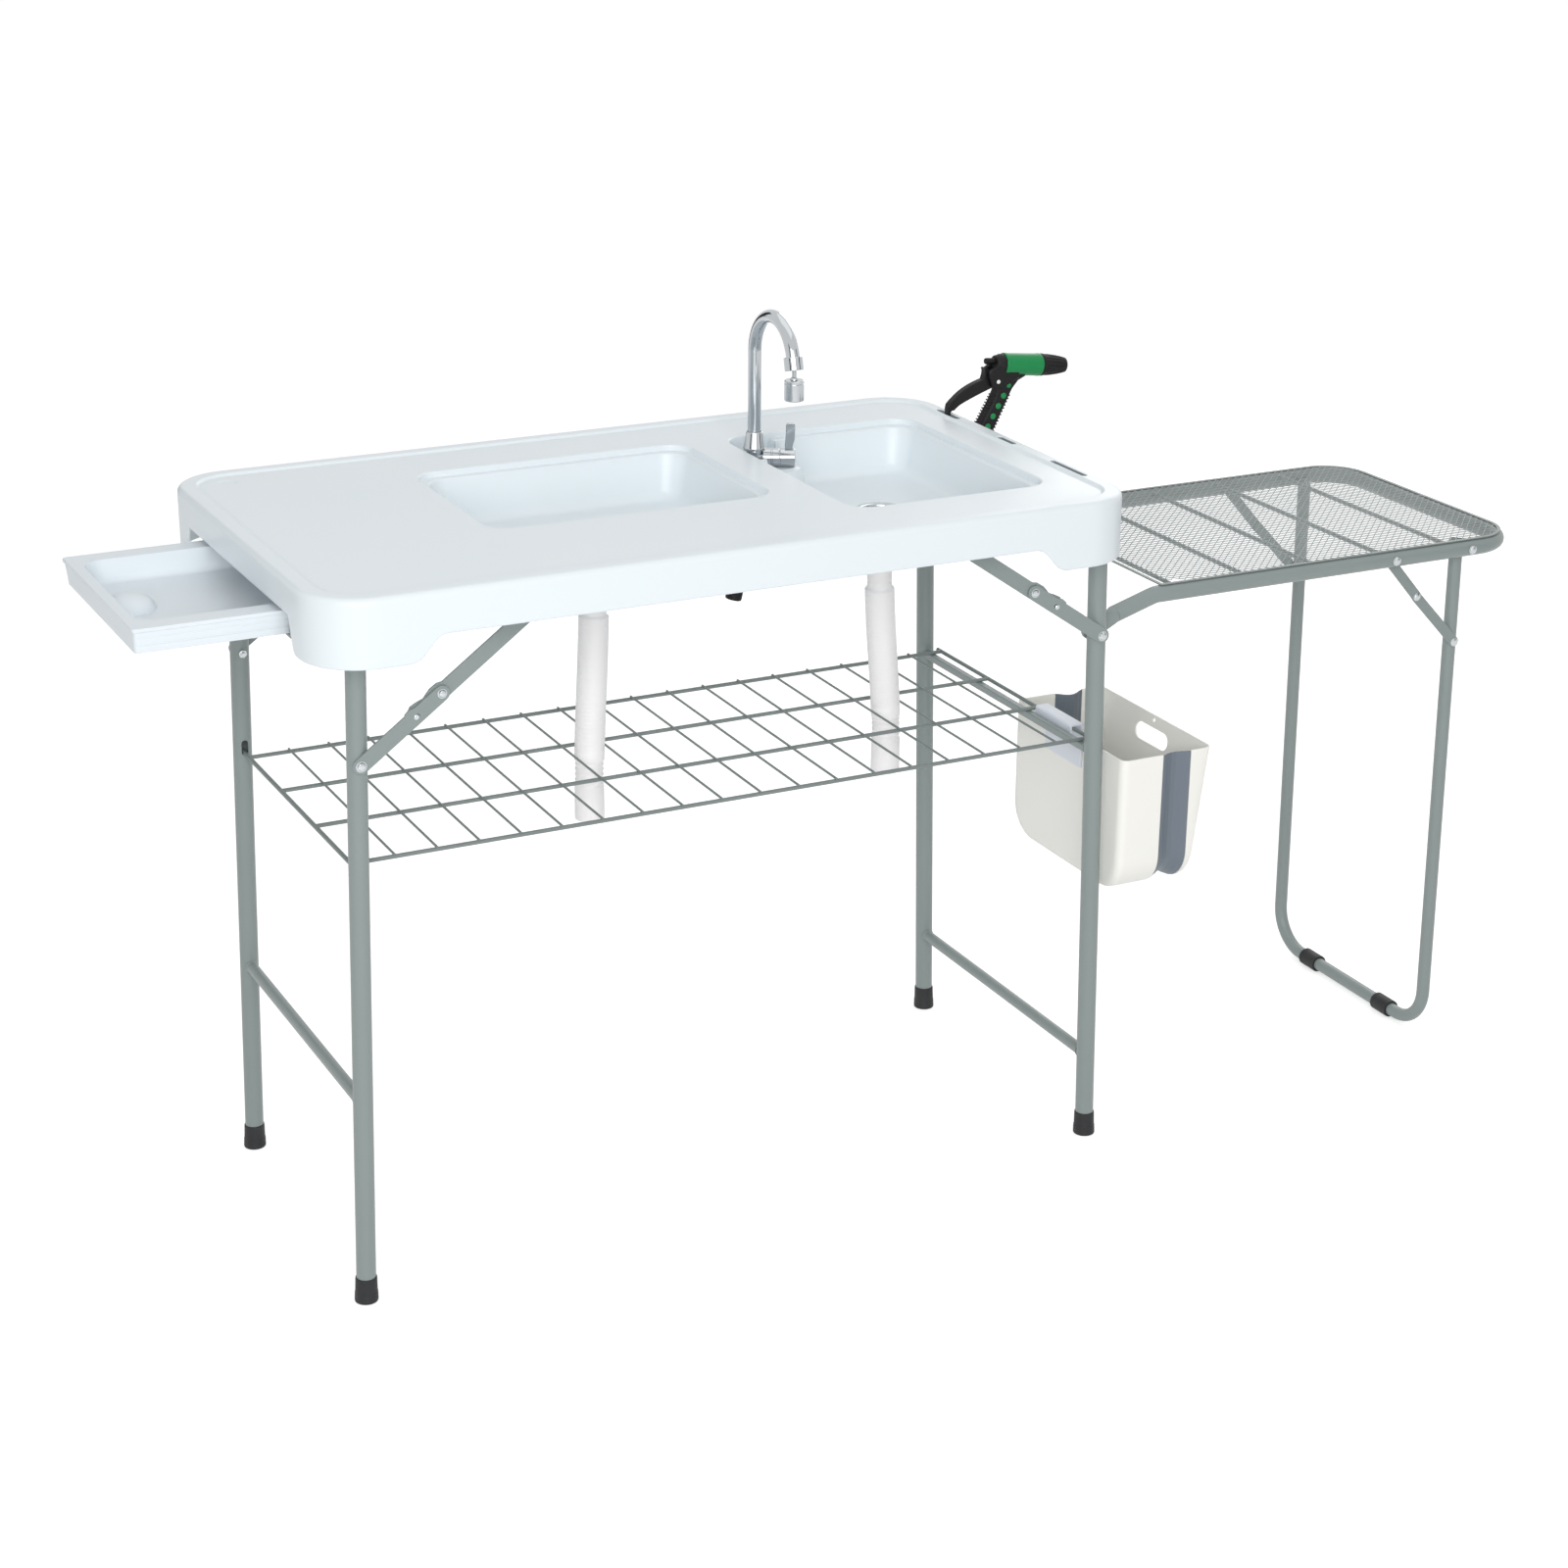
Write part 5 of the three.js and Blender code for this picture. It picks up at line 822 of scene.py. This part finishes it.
# ---- tap ----
TAP = vec(TAP_X, TAP_Y, 0)
VALVE = vec(cos(radians(-25)), sin(radians(-25)), 0)
hub = TAP + vec(0, 0, 925)
form = Form()
form.lathe([(8, 878.2), (8, 912.3), (14, 912.3), (14.2, 913.2), (13.6, 914.6), (12, 915.3), (11.2, 915.8), (11, 917),
            (11, 934.4), (10.6, 935.6), (9.8, 936)], TAP, UP, 48)
valve = [(9.6, 2), (10.6, 9), (12.6, 12), (12.6, 22), (11.9, 22.6), (11.9, 24), (12.6, 24.6), (12.6, 33),
         (11.9, 33.9)]
form.lathe(valve, hub, VALVE, 48)
form.piece("tap_base", CHROME, "table", "tap_body", angle=30)
form = Form().lathe([(9.8, 936.3), (14.6, 936.3), (15, 937.2), (15, 939.4), (14.4, 940.2), (11.4, 958.6), (10.9, 960.4),
                     (10.2, 961), (9.8, 961)], TAP, UP, 48, around=True, ribs=flutes(0.5, 8, 0.6, 941, 958))
form.piece("tap_collar", CHROME, "table", "tap_nut", angle=30)
form = Form().lathe([(11.8, 34.4), (12.6, 35.1), (12.6, 53), (11.8, 54.4), (9.8, 55), (4, 55.1)], hub, VALVE, 48)
face = vec(-VALVE.y, VALVE.x, 0)
mid = hub + VALVE * 46.5
lever = ((-4.4, 6), (4.4, 6), (5, 16), (7.6, 25), (8.2, 44), (7.4, 46.4), (5.6, 47.4), (-1.6, 47.4), (-3.4, 46.4),
         (-4, 44), (-4.6, 27), (-5.4, 16))
form.slab(lever, -3, 3, lambda u, v, h: mid + VALVE * u + UP * v - face * h, 0.8)
form.piece("tap_handle", CHROME, "tap_handle", "tap_lever", angle=30, weld=False)
SWEEP, BEND = radians(165), 57  # how far the spout turns over, and the radius of its bend
bow = [(0, -BEND + BEND * cos(a), 1070 + BEND * sin(a)) for a in (SWEEP * k / 40 for k in range(41))]
line = [TAP + Vector(p) for p in ((0, 0, 936.3), (0, 0, 990), (0, 0, 1040), *bow)]
way = vec(0, -sin(SWEEP), cos(SWEEP))
form = Form().tube(line, 9, 40, side=vec(1, 0, 0))
form.lathe([(9, -0.6), (11.8, -0.4), (12.5, 0.4), (12.5, 16.4), (11.9, 17), (6, 17), (5, 16)], line[-1], way, 48,
           ribs=flutes(0.25, 24, 0.3, 3, 13, 12))
collar_end = line[-1] + way * 17
ball = vec(TAP_X, collar_end.y, collar_end.z - 12)
form.tube([collar_end - way * 3, collar_end + vec(0, 0, -3), ball], 3, 20)
form.lathe([(0.3, -4.9), (2.5, -4.3), (4.3, -2.5), (5, 0), (4.3, 2.5), (2.5, 4.3), (0.3, 4.9)], ball, UP, 28)
form.piece("tap_gooseneck", CHROME, "spout", "tap_spout", angle=30, weld=False)
top = ball.z - 0.3
aerator = ((5.7, 0), (12.2, 0), (13, 0.9), (13, 4), (12.5, 4.5), (13, 5), (13, 26), (12.3, 27), (10.2, 27),
           (9.6, 26.2), (9.6, 20), (1, 20), (1, 7), (4.4, 5.6), (5.7, 2))
form = Form().lathe([(r, top - drop) for r, drop in aerator], (ball.x, ball.y, 0), UP, 96, around=True,
                    ribs=flutes(0.35, 32, 0.2, top - 24, top - 6, 12))
form.piece("tap_aerator_head", CHROME, "aerator", "tap_aerator", angle=30)
lock_nut = [(8.3, 898.7), (12.6, 898.7), (13, 898.2), (13, 907.2), (12.6, 907.7), (8.3, 907.7)]
form = Form().lathe(lock_nut, TAP, UP, 6, around=True)
form.piece("tap_back_nut", STEEL, "table", "tap_lock_nut")
route = ((0, 877.7), (0, 856), (-2, 836), (-7, 812), (-14, 788), (-21, 768), (-25, 754))
tail = [TAP + vec(x, 0, z) for x, z in route]
form = Form().tube(tail, 6, 28, side=vec(0, 1, 0))
form.lathe([(6, -4), (9, -3.8), (11.2, -1), (11.5, 2), (11.5, 22), (11, 24.4), (10, 25), (6.2, 25), (6, 19)], tail[-1],
           (-0.23, 0, -0.97), 40, ribs=flutes(0.6, 20, 0.2, least=11.2))
form.piece("tap_tail", BLACK, "table", "tap_inlet", angle=30)

# ---- spray nozzle ----
TILT = radians(6)
AXIS = vec(cos(TILT), 0, -sin(TILT))
NOZZLE_Y = 172
TEETH = 15


def barrel(d):
    return vec(645, NOZZLE_Y, 1000) + AXIS * d


def in_plane(u, v, h):
    return vec(u, NOZZLE_Y + h, v)


form = Form()
core = [(7, -40), (11, -40), (12.2, -39), (13.4, -34), (14.4, -32), (14.4, -27), (12.6, -25.6), (12.6, 33.6), (7, 34),
        (7, 54)]
form.lathe(core, barrel(0), AXIS, 40)
grip = ((570, 901), (594, 892.5), (607, 919), (619.5, 944), (631.5, 968), (641, 979), (652, 984), (655, 990),
        (652, 1006), (636, 1009), (622, 1008), (612, 1006), (605, 999), (603, 991), (608, 978), (607, 966),
        (599, 949), (585, 925))
form.slab(grip, -10.2, 10.2, in_plane, 2.6)
for k in range(TEETH):
    for a, b, sign in (((573, 905.5), (605.5, 962), -1), ((595.5, 896), (628, 962), 1)):
        p, q = (Vector(a).lerp(Vector(b), (k + share) / TEETH) for share in (0.15, 0.6))
        out = vec((q - p).y, -(q - p).x).normalized() * sign
        form.slab([p - out * 2, q - out * 2, q + out * 1.7, p + out * 1.7], -8.6, 8.6, in_plane, 0.4)
housing = ((592, 988), (597, 974), (611, 970.5), (640, 984), (640, 1004), (624, 1013), (613, 1011), (604, 1004),
           (598, 1000), (592, 996))
form.slab(housing, -13, -5.9, in_plane, 1.2)
form.slab(housing, 5.9, 13, in_plane, 1.2)
form.lathe([(11, 0), (12.6, 0), (12.9, 1), (12.9, 8.4), (12.3, 9.6), (8, 9.6), (6.2, 4)], (579.2, NOZZLE_Y, 890.2),
           vec(28, 0, 60).normalized(), 32)
form.piece("nozzle_grip", BLACK, "nozzle", "nozzle_body", weld=False, angle=40)
form = Form()
for k in range(6):
    p = vec(584.5, 904).lerp(vec(624.5, 974), k / 5)
    big = 1.0 if k < 5 else 0.8
    dot = [(4.3 * big, 9.9), (4.3 * big, 10.6), (3.6 * big, 11.1), (1.2, 11.1)]
    for s in ENDS.values():
        form.lathe(dot, (p.x, NOZZLE_Y, p.y), (0, s, 0), 24)
sleeve = [(13.3, 0), (15.4, 0), (16, 0.8), (16, 4.6), (15.7, 5.4), (15.7, 54), (16, 54.8), (16, 59), (15.3, 60),
          (13.3, 60)]
form.lathe(sleeve, barrel(-26), AXIS, 48, around=True)
form.piece("nozzle_green", GREEN, "nozzle", "nozzle_sleeve", weld=False)
form = Form()
for s in ENDS.values():
    form.lathe([(2.9, 12.6), (2.9, 13.2), (2.2, 13.5), (0.5, 13.5)], (606, NOZZLE_Y, 981.4), (0, s, 0), 20)
form.piece("nozzle_pin", HOSE, "nozzle")
nose = [(7.3, 0), (15, 0), (15.8, 0.8), (15.8, 3.6), (14.9, 4.6), (15.2, 5.6), (15, 12), (14, 22), (12.7, 31),
                     (11.2, 38), (10.4, 41), (9.4, 41.6), (6.6, 41.6), (6.6, 26), (7.3, 22)]
form = Form().lathe(nose, barrel(34.6), AXIS, 96, around=True, ribs=flutes(1.0, 16, 0.1, 6.5, 38.5, 9.6))
form.piece("nozzle_nose", BLACK, "nozzle_nose", "nozzle_tip", angle=30)
form = Form().lathe([(4.2, 0), (4.5, 0.5), (4.5, 12.6), (3.8, 14.4), (2, 15)], barrel(-40.3) + vec(0, 0, 4), -AXIS, 48,
                    ribs=flutes(0.35, 14, 0.2, 1, 13))
form.piece("nozzle_flow_knob", BLACK, "flow_knob", "nozzle_knob", angle=30)

left, right = [], []
a, b, c = vec(604, 981), vec(553, 968), vec(536.2, 949.5)
for t in (k / 18 for k in range(19)):
    p = a * (1 - t) ** 2 + b * 2 * t * (1 - t) + c * t * t
    tangent = ((b - a) * (1 - t) + (c - b) * t).normalized()
    aside = vec(-tangent.y, tangent.x) * (8 + 1.6 * sin(pi * min(t * 1.25, 1)) - 1.6 * t)
    left.append(p + aside)
    right.append(p - aside)
tongue = [(537.4, 945), (535, 943), (534.6, 936.4), (530.8, 936.4), (530.5, 943), (530.2, 948)]
horn = [(587.4, 991), (588, 997), (586.4, 1000), (588.6, 1001.4), (594, 998.6), (597.5, 997), (592, 992)]
form = Form().slab(left + tongue + right[:2:-1] + horn + right[:1], -5.7, 5.7, in_plane, 1.1)
form.piece("nozzle_lever", BLACK, "trigger", "nozzle_trigger", weld=False)

# ---- bucket ----
BUCKET_Y, BUCKET_HALF, RIM, LOW = -125, 140, 562, 366
SEAM, FACE, SLOPE = 674.2, 709.0, 28 / (RIM - LOW)  # where the front shell starts, its front at the rim, and its lean
BUCKET_CORNER, ARC_STEPS, WALL_STEPS = 50, 14, 22


def u_ring(x, inset, top=RIM):
    """Half open ring across the bucket: down a side, along the bottom, up the other. x may depend on the height."""
    h, bottom, radius = BUCKET_HALF - inset, LOW + inset, BUCKET_CORNER - inset
    low = bottom + radius
    turns = [(radius * sin(pi / 2 * k / ARC_STEPS), radius * cos(pi / 2 * k / ARC_STEPS)) for k in range(ARC_STEPS + 1)]
    row = [(-h, top + (low - top) * k / WALL_STEPS) for k in range(WALL_STEPS)]
    row += [(-h + radius - across, low - down) for down, across in turns]
    row += [(h - radius + across, low - down) for across, down in turns]
    row += [(h, low + (top - low) * k / WALL_STEPS) for k in range(1, WALL_STEPS + 1)]
    return [vec(x(z) if callable(x) else x, y + BUCKET_Y, z) for y, z in row]


def end_wall(form, ring, x, holes=()):
    """Closes an open end of the bucket."""
    form.flat([[(p.y, p.z) for p in ring], *holes], place=lambda p: (x(p[1]) if callable(x) else x, p[0], p[1]))


def thick(obj, depth):
    """Gives a sheet its wall thickness in millimetres, and soft edges."""
    obj.modifiers.clear()
    wall = obj.modifiers.new("wall", "SOLIDIFY")
    wall.thickness = depth / 1000
    wall.offset = -1
    wall.use_even_offset = True
    wall.use_quality_normals = True
    edge = obj.modifiers.new("edge", "BEVEL")
    edge.width = 0.0006
    edge.segments = 2
    edge.limit_method = "ANGLE"
    edge.angle_limit = radians(50)
    weigh_normals(obj)


def front_face(share):
    """The x of the front shell at a height, at a share of the way from its seam to its front."""
    return lambda z: SEAM + (FACE - (RIM - z) * SLOPE - SEAM) * share


form = Form()
bulge = ((566.0, 13), (566.4, 9.2), (567.6, 5.6), (569.8, 2.6), (572.8, 0.7), (577, 0), (600, 0), (629.9, 0))
rings = [u_ring(*step) for step in bulge]
form.loft([r[::-1] for r in rings], loop=False)
end_wall(form, rings[0], 566.0)
thick(form.piece("bucket_back", CREAM, "bucket", "bucket_inner_shell"), 2.4)
form = Form()
bulge = ((0, 0), (0.4, 0), (0.77, 0.8), (0.874, 2.8), (0.949, 5.8), (0.989, 9.4), (1, 13))
rings = [u_ring(front_face(share), inset) for share, inset in bulge]
form.loft(rings, loop=False)
handle = stadium((BUCKET_Y - 28, 532), (BUCKET_Y + 28, 532), 12)
end_wall(form, rings[-1], front_face(1), [handle, circle(BUCKET_Y, 554.5, 2.8, 16)])
thick(form.piece("bucket_front", CREAM, "bucket_outer", "bucket_outer_shell"), 2.4)
rings = []
for t in (k / 24 for k in range(25)):
    fold = 8.6 * sin(pi * t) ** 1.4 + 0.5 * sin(pi * 6 * t) ** 2 + 0.3
    rings.append(u_ring(630.4 + 43.2 * t, fold, 561.4 - 1.6 * sin(pi * t)))
gusset = Form().loft(rings, loop=False).piece("bucket_fold", SLATE, "bucket", "bucket_gusset", angle=70)
thick(gusset, 2.0)
gusset.data = evaluated(gusset)
gusset.modifiers.clear()
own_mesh(gusset)
hook = ((565.7, 520.5), (565.7, 583), (564.2, 584.5), (547, 584.5), (545.1, 582.6), (545.1, 561.6), (548.1, 561.6),
        (548.1, 581.5), (562.7, 581.5), (562.7, 520.5))
form = Form().slab(hook, -164, -72, upright, 0.5)
for y in (-162, -118, -75):
    form.box((549.5, y - 1, 584.3), (563.5, y + 1, 584.45), 0.05)
form.piece("bucket_bracket", HOOK, "bucket", "bucket_hook", weld=False)

# ---- side table ----
SIDE_LEFT, SIDE_RIGHT, SIDE_Y, SIDE_Z, SIDE_TUBE = 641, 1243, 206.4, 769, 11.5
PIVOT = vec(leg_x("right", 737), 737)
CLIMB = (vec(SIDE_LEFT, SIDE_Z) - PIVOT).normalized()
start = PIVOT + CLIMB * 44
half = [(start.x, start.y), (SIDE_LEFT, SIDE_Z), (SIDE_RIGHT, SIDE_Z)]
line = bent([*((x, -SIDE_Y, z) for x, z in half), *((x, SIDE_Y, z) for x, z in reversed(half))], [40, 62, 62, 40], 12)
lead_in = [vec(PIVOT.x + CLIMB.x * d, -y, PIVOT.y + CLIMB.y * d) for d, y in
           ((8, 215.2), (16, 215.2), (24, 214.4), (32, 212.2), (38, 209.6), (41.5, 207.4))]
line = lead_in + line + [vec(p.x, -p.y, p.z) for p in reversed(lead_in)]
squeeze = [(0.225, 1.13), (0.225, 1.13), (0.31, 1.1), (0.56, 1.06), (0.82, 1.03), (0.95, 1.0)]  # width, height
flats = squeeze + [(1, 1)] * (len(line) - 2 * len(squeeze)) + squeeze[::-1]
rings = []
for p, way, (wide, tall) in zip(line, headings(line), flats):
    across = way.cross(UP).normalized()
    lift = across.cross(way)
    rings.append([p + across * (SIDE_TUBE * wide * cos(TAU * k / 32)) + lift * (SIDE_TUBE * tall * sin(TAU * k / 32))
                  for k in range(32)])
form = Form().loft(rings, start=True, stop=True)
for s in ENDS.values():
    form.slab(stadium(PIVOT, PIVOT + CLIMB * 12, 13), s * 212.7, s * 217.8, upright, 0.8)
for i in range(5):
    x = 671 + i * 113.6
    form.tube([(x, -197, 777.2), (x, 197, 777.2)], 3, 16)
form.piece("side_tubes", PAINT, "side_table", "side_frame", weld=False)

# ---- expanded metal tray: each strand is a flat bar between two knots of the net, tilted a little ----
TRAY_LEFT, TRAY_RIGHT, TRAY_HALF, TRAY_CORNER, TRAY_BORDER = 647.0, 1247.0, 210.4, 62.0, 3.0
COLUMNS, ROWS, STRAND_TOP, STRAND_LOW, STRAND_HALF, STRAND_TILT = 50, 68, 782.6, 781.6, 0.52, 0.25


def edge_y(x):
    for centre, sign in ((TRAY_LEFT + TRAY_CORNER, -1), (TRAY_RIGHT - TRAY_CORNER, 1)):
        away, reach = (x - centre) * sign, TRAY_CORNER - TRAY_BORDER
        if away > 0:
            return TRAY_HALF - TRAY_CORNER + sqrt(max(reach ** 2 - away ** 2, 0)) if away < reach else 0
    return TRAY_HALF - TRAY_BORDER


def knot(i, j):
    dx = (TRAY_RIGHT - TRAY_LEFT - 2 * TRAY_BORDER) / COLUMNS
    dy = 2 * (TRAY_HALF - TRAY_BORDER) / ROWS
    return vec(TRAY_LEFT + TRAY_BORDER + i * dx / 2, -TRAY_HALF + TRAY_BORDER + j * dy)


form = Form()
for i in range(COLUMNS * 2):
    for j in range(i % 2, ROWS, 2):
        for dj in (1, -1):
            a, b = knot(i, j), knot(i + 1, j + dj)
            if j + dj < 0 or abs(a.y) > edge_y(a.x) or abs(b.y) > edge_y(b.x):
                continue
            along = (b - a).normalized()
            across = vec(-along.y, along.x) * STRAND_HALF
            one, two = (STRAND_TILT, 0) if dj > 0 else (0, STRAND_TILT)
            points = []
            for p in (a - along * 0.4, b + along * 0.4):
                l, r = p - across, p + across
                points += [(l.x, l.y, STRAND_LOW + one), (r.x, r.y, STRAND_LOW + two),
                           (r.x, r.y, STRAND_TOP - one), (l.x, l.y, STRAND_TOP - two)]
            form.add(points, [[0, 1, 5, 4], [1, 2, 6, 5], [2, 3, 7, 6], [3, 0, 4, 7]])
form.piece("side_net", TRAY, "side_table", "side_mesh", weld=False, angle=30, weighted=False)
border = ((0.3, 780.9), (0, 781.8), (0.3, 782.7), (5.0, 782.7), (5.3, 781.8), (5.0, 780.9))
sheet = rect(TRAY_RIGHT - TRAY_LEFT, 2 * TRAY_HALF, (TRAY_LEFT + TRAY_RIGHT) / 2, 0)
rings = [at(outline(sheet, [4, TRAY_CORNER, TRAY_CORNER, 4], inset, 14), z) for inset, z in border]
form = Form().loft(rings, around=True)
form.piece("side_net_edge", WIRE, "side_table", weld=False, angle=30, weighted=False)

# ---- the side table's folding leg ----
SPLAY = tan(radians(1.1))
HOOP_X, HOOP_Y, HOOP_Z, PIN = 1161, 181.5, 13, 3.5
FALL = radians(48.2)
PAD = ((9.8, 18), (12.4, 18), (13, 17.2), (13, 12), (12.6, 11.4), (13, 10.8))  # half of its profile


def foot_x(z):
    return HOOP_X + (SIDE_Z - z) * SPLAY


LINK_TOP = vec(1030, SIDE_Z)
LINK_MIDDLE = LINK_TOP + 88.5 * vec(cos(FALL), -sin(FALL))
LINK_LOW = vec(foot_x(625.5), 625.5)
along = (LINK_MIDDLE - LINK_TOP).normalized()
across = vec(-along.y, along.x)
line = [(foot_x(z), y, z) for y, z in ((-HOOP_Y, 775), (-HOOP_Y, HOOP_Z), (HOOP_Y, HOOP_Z), (HOOP_Y, 775))]
form = Form().tube(bent(line, [60, 60], 14), 9.5, 32, bore=8.2, side=vec(1, 0, 0))
form.piece("side_hoop", PAINT, "side_leg", "side_leg")
bolts = Form()
for name, s in ENDS.items():
    out = (0, s, 0)
    bolts.bolt((HOOP_X, s * 218.2, SIDE_Z), out, 5.4)
    bolts.lathe([(PIN, 0), (PIN, 46)], (HOOP_X, s * 172.2, SIDE_Z), out, 20)
    bolts.bolt((LINK_LOW.x, s * 192.9, LINK_LOW.y), out, 5.2, 1.4)
    bolts.lathe([(PIN, 0), (PIN, 20)], (LINK_LOW.x, s * 173, LINK_LOW.y), out, 20)
    pad = [*((r, -h) for r, h in PAD), *PAD[::-1]]
    form = Form().lathe(pad, (foot_x(HOOP_Z), s * 92, HOOP_Z), (0, 1, 0), 40, around=True)
    form.piece(f"pad_{name}", RUBBER, "side_leg", f"side_leg_pad_{name}")
    upper, studs = Form(), Form()
    upper.slab(stadium(LINK_TOP, LINK_MIDDLE, 7.5), s * 193.15, s * 194.55, upright, 0.3)
    for d in (56, 62, 68):
        teeth = stadium(LINK_TOP + along * d + across * 4.4, LINK_TOP + along * (d + 2.4) + across * 4.4, 1.2)
        upper.slab(teeth, s * 194.4, s * 195.1, upright, 0.2)
    upper.piece(f"stay_upper_{name}", PAINT, f"link_upper_{name}", f"side_link_upper_{name}", weld=False)
    studs.bolt((LINK_TOP.x, s * 218.2, LINK_TOP.y), out, 5.4)
    studs.lathe([(PIN, 0), (PIN, 24)], (LINK_TOP.x, s * 194.5, LINK_TOP.y), out, 20)
    studs.bolt((LINK_MIDDLE.x, s * 194.6, LINK_MIDDLE.y), out, 4.8, 2.4)
    studs.piece(f"stay_studs_{name}", STEEL, f"link_upper_{name}", weld=False, angle=30)
    lower = Form().slab(stadium(LINK_MIDDLE, LINK_LOW, 7.5), s * 191.35, s * 192.75, upright, 0.3)
    lower.piece(f"stay_lower_{name}", PAINT, f"link_lower_{name}", f"side_link_lower_{name}", weld=False)
bolts.piece("side_hoop_bolts", STEEL, "side_leg", weld=False, angle=30)

# ---- finishes of the solids that stay ----
for name in ENDS:
    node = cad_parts[f"drawer_runner_{name}"]
    node.data.materials.clear()
    node.data.materials.append(PAINT)


# ---- stage and light ----
FLOOR_GLOW, SKY_LIGHT = 0.56, 0.5


def plain(name, level):
    """A matt grey material."""
    mat = bpy.data.materials.new(name)
    mat.use_nodes = True
    grey = {"Base Color": (level, level, level, 1), "Roughness": 0.9}
    fill(mat.node_tree, mat.node_tree.nodes["Principled BSDF"], grey)
    return mat


def seen_share(tree):
    """1 for rays from the camera, from reflections and through clear things, 0 for the rays that light the object."""
    path = tree.nodes.new("ShaderNodeLightPath")
    total = path.outputs["Is Camera Ray"]
    for name in ("Is Glossy Ray", "Is Transmission Ray"):
        either = tree.nodes.new("ShaderNodeMath")
        either.operation = "MAXIMUM"
        fill(tree, either, {0: total, 1: path.outputs[name]})
        total = either.outputs[0]
    return total


def stage_quad(name, corners, finish):
    mesh = bpy.data.meshes.new(name)
    mesh.from_pydata(corners, [], [[0, 1, 2, 3]])
    mesh.materials.append(finish)
    obj = add_object(name, mesh)
    return obj


ground = plain("floor_white", 0.82)
tree = ground.node_tree
glow = tree.nodes.new("ShaderNodeMath")
glow.operation = "MULTIPLY"
fill(tree, glow, {0: seen_share(tree), 1: FLOOR_GLOW})
fill(tree, tree.nodes["Principled BSDF"], {"Emission Color": (1, 1, 1, 1), "Emission Strength": glow.outputs[0]})
stage_quad("floor", [(-30, -30, 0), (30, -30, 0), (30, 60, 0), (-30, 60, 0)], ground)

world = bpy.data.worlds.new("studio")
bpy.context.scene.world = world
world.use_nodes = True
tree = world.node_tree
sky = add_node(tree, "MapRange", "Result", {"Value": seen_share(tree), "To Min": SKY_LIGHT, "To Max": 1.0})
fill(tree, tree.nodes["Background"], {"Color": (1, 1, 1, 1), "Strength": sky})


def lamp(name, place, target, size, power):
    data = bpy.data.lights.new(name, "AREA")
    data.shape = "RECTANGLE"
    data.size, data.size_y = size
    data.energy = power
    obj = add_object(name, data)
    obj.location = place
    obj.rotation_euler = (Vector(target) - Vector(place)).to_track_quat("-Z", "Y").to_euler()


lamp("key", (-1.8, -3.6, 2.2), (0, 0, 0.8), (3.0, 2.0), 90)
lamp("over", (0.3, 0.2, 3.6), (0, 0, 0.6), (3.4, 2.6), 12)
lamp("rim", (2.8, 2.4, 2.4), (0.2, 0, 0.7), (2.0, 2.0), 22)
flag_black = plain("flag_black", 0.02)


def flag(name, x, y, width):
    """A dark upright card that only reflections see, so that the chrome shows its form."""
    side = vec(-y, x, 0).normalized() * width / 2
    foot, rise = vec(x, y, 0.3), vec(0, 0, 2.6)
    card = stage_quad(name, [foot - side, foot + side, foot + side + rise, foot - side + rise], flag_black)
    card.visible_camera = card.visible_diffuse = card.visible_shadow = card.visible_transmission = False


flag("flag_left", -3.2, -1.1, 0.7)
flag("flag_right", 3.0, -2.4, 0.8)
flag("flag_back", -1.2, 3.4, 0.9)

bpy.context.scene.view_settings.view_transform = "Standard"
